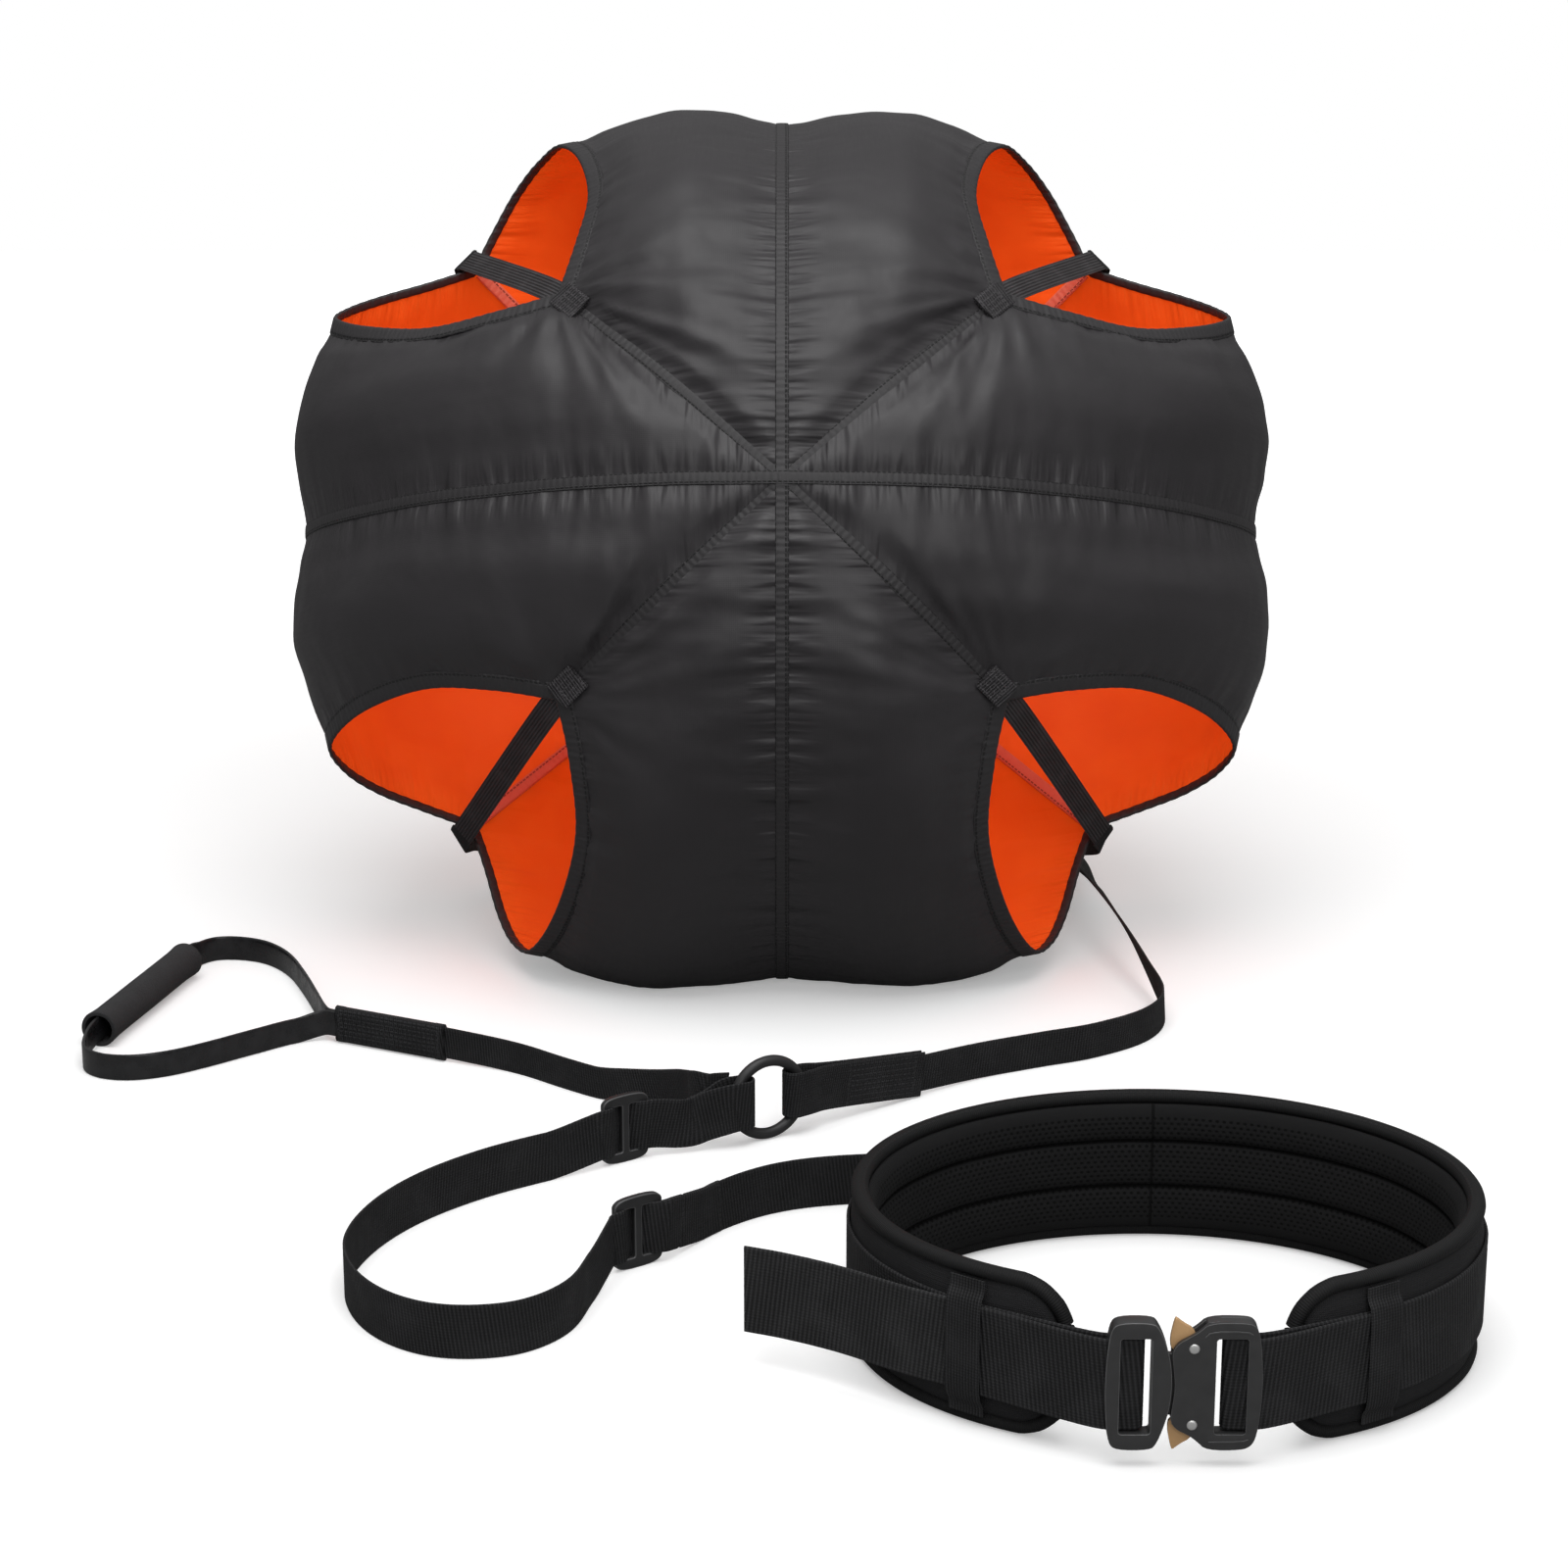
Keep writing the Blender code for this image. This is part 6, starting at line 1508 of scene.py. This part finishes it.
for index, ((length, rise), place) in enumerate(zip(loop, places)):
    before, after = places[(index - 1) % (len(places) - 1)], places[(index + 1) % (len(places) - 1)]
    course = (after - before).normalized()
    outward = (belt_spot(turn_at(length), 1, 0) - belt_spot(turn_at(length), 0, 0)).normalized()
    away = course.cross(outward).normalized()
    away = away if away.z * rise > 0 or abs(away.z) < 0.2 else -away
    gone += (place - places[index - 1]).length if index else 0
    row, mark = [], []
    for step in range(16):
        angle = 2 * pi * step / 16
        pull = 1 - stitch_pull * (0.5 + 0.5 * cos(2 * pi * gone / (3.6 * mm)))
        radial = course.cross(away) * (cos(angle) * rim_flatness) + away * sin(angle) * pull
        row.append(place + radial * belt_binding)
        mark.append((gone, (angle if angle <= pi else angle - 2 * pi) * belt_binding, 0))
    rows.append(row)
    marks.append(mark)
piece("belt_rim", woven(rows, marks, ring=True), [binding_cloth], "leash_and_belt", ["belt_binding"])

# %% [markdown]
# ## Belt webbing and keepers
# The wide webbing runs round the pad, turns round a pin in each half of the buckle and comes back on
# itself under an elastic keeper. The left end is a free tail. The part that pulls out with the left half
# of the buckle is given both bodies and two places, but is hung on neither and stays where it is made.

# %% Webbing round the belt
buckle_middle = Vector((200.5 * mm, -728.5 * mm, 45 * mm))
male_width, female_width, buckle_seam = 34 * mm, 44 * mm, 0.5 * mm
slot_width, slot_bar = 16 * mm, 7 * mm
pin_radius, pin_setback, pin_inward = 2 * mm, 2 * mm, 1.8 * mm
buckle_shift = (male_width - female_width) / 2
# The free end leaves the left keeper and hangs clear of the pad
tail_steps = [(-22.4 * mm, 14 * mm), (-56.4 * mm, 39 * mm), (-84.4 * mm, 55 * mm), (-105.4 * mm, 64 * mm)]
level = belt_height / 2


def pin_place(hand):
    """Middle of the pin inside a half's slot: hand -1 is the left half."""
    reach = male_width if hand < 0 else female_width
    x = hand * (reach + buckle_seam / 2 - slot_bar - slot_width * 0.42 - pin_inward)
    return buckle_middle + Vector((x + buckle_shift, pin_setback, 0))


fold_radius = pin_radius + seam_gap * 2 + belt_webbing_thickness / 2


def pin_fold(hand):
    """The webbing's turn round a pin, from its outer layer to its inner one."""
    pin = pin_place(hand)
    return [np.array([pin.x - hand * fold_radius * sin(angle), pin.y - fold_radius * cos(angle), level])
            for angle in (pi * step / 8 for step in range(9))]


def keeper_spots(hand, layer, shares):
    """Places along a layer of webbing under a keeper."""
    marks = [keeper_length(hand) + share * keeper_width / 2 for share in shares]
    return [over(belt_spot(turn_at(mark), webbing_offset(layer), 0), level) for mark in marks]


def lead_run(hand, layer):
    """One layer between a keeper and its pin, bending round with the pad and behind the slot bar."""
    pin = pin_place(hand)
    half = male_width if hand < 0 else female_width
    bar_x = buckle_middle.x + buckle_shift + hand * (half + buckle_seam / 2)
    y = pin.y + (fold_radius if layer == 0 else -fold_radius)
    away = keeper_width / 2 + 8 * seam_gap
    near = belt_spot(turn_at(keeper_length(hand) - hand * away), webbing_offset(layer), 0)
    return [over((bar_x - hand * slot_bar, y), level), over((bar_x + hand * slot_bar * 0.6, y), level),
            over(near, level)]


joint = seam_gap / keeper_width
outer = keeper_spots(1, 1, (1, 0, -1)) + lead_run(1, 1)[::-1]
inner = lead_run(1, 0) + keeper_spots(1, 0, (-1, 0, 1))
start, stop = keeper_length(1) + keeper_width / 2, keeper_length(-1) - keeper_width / 2
round_pad = [np.array(belt_spot(turn_at(length), webbing_offset(0), level))
             for length in np.linspace(start, stop, 120)[1:-1]]
path = outer + pin_fold(1) + inner + round_pad + keeper_spots(-1, 0, (-1, -joint))


def belt_strap(name, path, paint, body, node):
    """One length of the belt's wide webbing."""
    strap(name, path, belt_webbing_width, belt_webbing_thickness, paint, body, [node], step=2 * mm)


belt_strap("belt_webbing_wide", path, wide_web, "leash_and_belt", "belt_webbing")
lead = keeper_spots(-1, 1, (joint, 1)) + lead_run(-1, 1)[::-1] + pin_fold(-1) + lead_run(-1, 0)
lead += keeper_spots(-1, 0, (1, joint))
bends = ("leash_and_belt", "buckle_male", Vector((120 * mm, -700 * mm, 45 * mm)),
         Vector((157 * mm, -727 * mm, 45 * mm)))
belt_strap("belt_webbing_pull", lead, wide_web, bends, "belt_webbing_lead")
tail = keeper_spots(-1, 1, (-joint, -1))
leaves = tail[-1]
tail += [over((leaves[0] + x, leaves[1] + y), level) for x, y in tail_steps]
tail = tail[:1] + run_through(tail[1:])
# The free tail is painted paler than the same webbing round the belt: painted light on the end.
tail_web = webbing_paint("tail_web", 50 * mm, 2.6 * mm, stitches=[(139 * mm, 144 * mm, [])],
                         shade=(0.012, 0.012, 0.0125))
belt_strap("belt_webbing_end", tail, tail_web, "leash_and_belt", "belt_webbing_tail")

# %% Keepers
out = webbing_offset(1) + belt_webbing_thickness / 2 + seam_gap + keeper_thickness / 2
low, tall = seam_gap + keeper_thickness / 2, keeper_height / 2
inner_tall = belt_webbing_width / 2 + seam_gap + keeper_thickness
keeper_path = [(low, tall), (low, inner_tall + out), (out, inner_tall), (out, 0), (out, -inner_tall),
               (low, -inner_tall - out), (low, -tall)]
for hand, word in ((-1, "left"), (1, "right")):
    turn = turn_at(keeper_length(hand))
    side = (belt_spot(turn + 0.02, 0, 0) - belt_spot(turn - 0.02, 0, 0)).normalized()
    middles = [belt_spot(turn, outward + 0.4 * mm, belt_height / 2 + rise) for outward, rise in keeper_path]
    band(f"keeper_{word}_elastic", middles, side, keeper_width, keeper_thickness, keeper_web,
         [f"keeper_{word}"], body="leash_and_belt")

# %% [markdown]
# ## Buckle
# Both halves are cast and coated black with well rounded edges. The left one has a bowed inner edge that
# fits the hollow of the right one, and two bronze levers show where they part. Each plate is an outline
# with its slot, filled, extruded and bevelled, with its bevels in the paler second paint, a painted
# highlight along the edges. The right half is two cheeks with a core between them, so the tongue has its
# cavity when the buckle opens.

# %% Buckle halves
male_outline = [(-28.4, 35), (-10.8, 35), (-7.8, 31.5), (-4.4, 24.0), (-1.6, 13.0), (-0.7, 0.3),
                (-1.8, -12.5), (-4.6, -23.0), (-7.8, -31.5), (-10.8, -35), (-28.4, -35), (-32.4, -31),
                (-34.0, -16), (-34.6, 0), (-34.0, 16), (-32.4, 31)]
female_outline = [(17.0, 35), (35.6, 35), (40.4, 33.4), (42.6, 28), (44.0, 15), (44.7, 0), (44.0, -15),
                  (42.6, -27), (40.2, -32.6), (35.2, -35), (17.4, -35), (12.4, -30), (8.0, -26.5),
                  (1.6, -23.4), (-1.4, -18.6), (-0.3, -10.5), (0.8, 0), (-0.3, 10.5), (-1.4, 18.6),
                  (1.6, 23.8), (7.6, 27.2), (12.0, 30)]
core_outline = [(17.0, 34.9), (35.6, 34.9), (40.4, 33.3), (42.5, 28), (43.9, 15), (44.6, 0), (43.9, -15),
                (42.5, -27), (40.1, -32.5), (35.2, -34.9), (17.4, -34.9), (15.0, -32), (20.4, -27),
                (20.4, 27), (15.0, 32)]
top_ledge = [(18.2, 29.9), (35.6, 29.9), (38.6, 28.4), (39.4, 28.8), (36.0, 30.7), (17.8, 30.7),
             (14.6, 27.2), (15.4, 27.0)]
low_ledge = [(18.2, -30.7), (35.6, -30.7), (38.6, -29.2), (38.2, -28.6), (35.4, -29.9), (18.4, -29.9)]
lever_outline = [(-1.7, 19.5), (-2.2, 24.5), (-1.0, 31.5), (0.2, 36.0), (1.0, 36.0), (4.6, 33.0),
                 (9.4, 30.2), (11.0, 26.0), (13.5, 23.0), (13.5, 19.0), (10.0, 18.0), (3.0, 18.0)]
half_tongue = [(-8, 17), (13.6, 17), (13.6, 13.8), (18, 13.8), (18, 16), (20.2, 14)]
rivet_profile = [(0, 5.75), (1.6, 5.7), (2.3, 5.55), (2.6, 5.25), (2.7, 5.0), (2.7, -5.0), (2.6, -5.25),
                 (2.3, -5.55), (1.6, -5.7), (0, -5.75)]
seam_place = buckle_middle + Vector((buckle_shift, 0, 0))


def coat_paint(name, dark, light):
    """Matt black coating with a fine grain."""
    paint = Paint(name, dark, 0.36, "black_plastic")
    vector = paint.places()
    mottle, grain = paint.cloud(vector, 8 * mm), paint.cloud(vector, 0.35 * mm, 4.0)
    paint.finish(mottle, dark, light, 0.33 + mottle * 0.1 + grain * 0.1, grain * 0.5 + mottle * 0.2,
                 0.05 * mm)
    return paint


def buckle_piece(name, shapes, paints, body, node, smooth=35, place=seam_place):
    """A piece of the buckle from shapes drawn round its seam."""
    piece(name, placed(joined(shapes), place), paints, body, [node], smooth=smooth)


def rounded_copy(node, name, body, move):
    """A pin's own shape with its edges rounded, moved along x."""
    shape = bmesh.new()
    shape.from_mesh(nodes[node].data)
    placed(shape, Vector((move, 0, 0)) - home)
    bmesh.ops.remove_doubles(shape, verts=shape.verts, dist=0.01 * mm)
    bmesh.ops.dissolve_limit(shape, angle_limit=radians(2), verts=shape.verts, edges=shape.edges)
    sharp = [edge for edge in shape.edges if edge.is_manifold and edge.calc_face_angle() > radians(35)]
    bmesh.ops.bevel(shape, geom=sharp, offset=0.4 * mm, segments=2, profile=0.5, affect='EDGES',
                    material=-1, clamp_overlap=True)
    piece(name, shape, [black_steel], body, [node], smooth=35)


# The second coat is a paler copy for the bevels: a painted highlight along the edges.
coats = [coat_paint("black_coat", (0.024, 0.024, 0.0245), (0.042, 0.042, 0.043)),
         coat_paint("rubbed_coat", (0.09, 0.09, 0.092), (0.16, 0.16, 0.163))]
male = cut_plate([rounded(male_outline), slot_outline(-19.2)], -5, 5, 0.7)
buckle_piece("buckle_male_smooth", [male], coats, "buckle_male", "buckle_male_frame")
cheeks = [cut_plate([rounded(female_outline), slot_outline(29.0)], low, high, 0.7)
          for low, high in ((-5, -2.15), (2.15, 5))]
core = cut_plate([rounded(core_outline, 1), slot_outline(29.0)], -2.6, 2.6, 0.1, 1)
ledges = [cut_plate([rounded(outline, 1)], 4.7, 5.35, 0.25, 2) for outline in (top_ledge, low_ledge)]
buckle_piece("buckle_female_smooth", [*cheeks, core, *ledges], coats, "leash_and_belt",
             "buckle_female_body")
for hand, word in ((1, "top"), (-1, "bottom")):
    lever = cut_plate([rounded([(x, z * hand) for x, z in lever_outline], 1)], -1.5, 1.5, 0.5, 2)
    buckle_piece(f"lever_{word}_bronze", [lever], [bronze, bronze], f"lever_{word}",
                 f"release_lever_{word}")
    rivet = placed(turned([(radius * mm, height * mm) for radius, height in rivet_profile], 32),
                   (0, 0, 0), stood)
    buckle_piece(f"rivet_{word}_domed", [rivet], [bright_steel], "leash_and_belt", f"rivet_{word}", 60,
                 seam_place + Vector((9.75 * mm, 0, hand * 21 * mm)))
tongue = cut_plate([half_tongue + [(x, -z) for x, z in half_tongue[::-1]]], -1.5, 1.5, 0.3, 2)
buckle_piece("tongue_smooth", [tongue], [black_steel, worn_edge], "buckle_male", "buckle_tongue")
rounded_copy("buckle_male_pin", "buckle_male_pin_smooth", "buckle_male", pin_inward)
rounded_copy("buckle_female_pin", "buckle_female_pin_smooth", "leash_and_belt", -pin_inward)


# %% [markdown]
# ## Studio
# A white sweep with a large soft lamp overhead, a weaker one in front and a sky that darkens towards the
# horizon gives highlights on what faces up, dark undersides and faint contact shadows. The floor and the
# sky show nearly white to the camera, yet the floor keeps its shadows.

# %% Floor, lamps and world
def shown_to_camera(wiring):
    """1 for what the camera sees directly and 0 for what only lights the pieces."""
    return wiring.node("ShaderNodeLightPath").output("Is Camera Ray")


shape = bmesh.new()
bmesh.ops.create_grid(shape, x_segments=1, y_segments=1, size=4)
mesh = bpy.data.meshes.new("studio_floor")
shape.to_mesh(mesh)
shape.free()
floor = bpy.data.objects.new("studio_floor", mesh)
bpy.context.scene.collection.objects.link(floor)
floor_paint = Paint("studio_white", (0.86, 0.86, 0.86), 0.85, shine=0.0)
shown = shown_to_camera(floor_paint)
x, y, _ = floor_paint.split(floor_paint.places())
away = (x * x + y * y).maths("SQRT").soft(0.8, 2.0)
glow = floor_paint.blend(away, (0.30, 0.30, 0.30), (1, 1, 1))
floor_paint.set("Base Color", floor_paint.blend(shown, (0.32, 0.32, 0.32), (0.86, 0.86, 0.86)))
floor_paint.set("Emission Color", floor_paint.blend(shown, (0, 0, 0), glow))
floor_paint.set("Emission Strength", 1.0)
mesh.materials.append(floor_paint.material)


def lamp(name, size, power, place, aim):
    """A soft square lamp that looks at a point."""
    light = bpy.data.lights.new(name, 'AREA')
    light.shape = 'SQUARE'
    light.size = size
    light.energy = power
    holder = bpy.data.objects.new(name, light)
    bpy.context.scene.collection.objects.link(holder)
    holder.location = place
    holder.rotation_euler = (Vector(aim) - Vector(place)).to_track_quat('-Z', 'Y').to_euler()


lamp("lamp_above", 2.0, 43, (0.0, -0.7, 2.7), (0, 0.1, 0.1))
lamp("lamp_front", 1.6, 18, (0.6, -2.6, 1.6), (0, 0, 0.2))
world = bpy.data.worlds.new("studio_air")
world.use_nodes = True
bpy.context.scene.world = world
air = Wiring(world.node_tree)
rise = air.split(air.node("ShaderNodeTexCoord").output("Generated"))[2]
dusk = air.node("ShaderNodeMapRange", {}, {"Value": rise, "From Min": -0.1, "To Min": 0.10, "To Max": 0.62})
back = world.node_tree.nodes["Background"]
air.feed(back.inputs["Color"], (1, 1, 1, 1))
air.feed(back.inputs["Strength"], air.node("ShaderNodeMix", {}, {0: shown_to_camera(air), 2: dusk, 3: 1.0}))
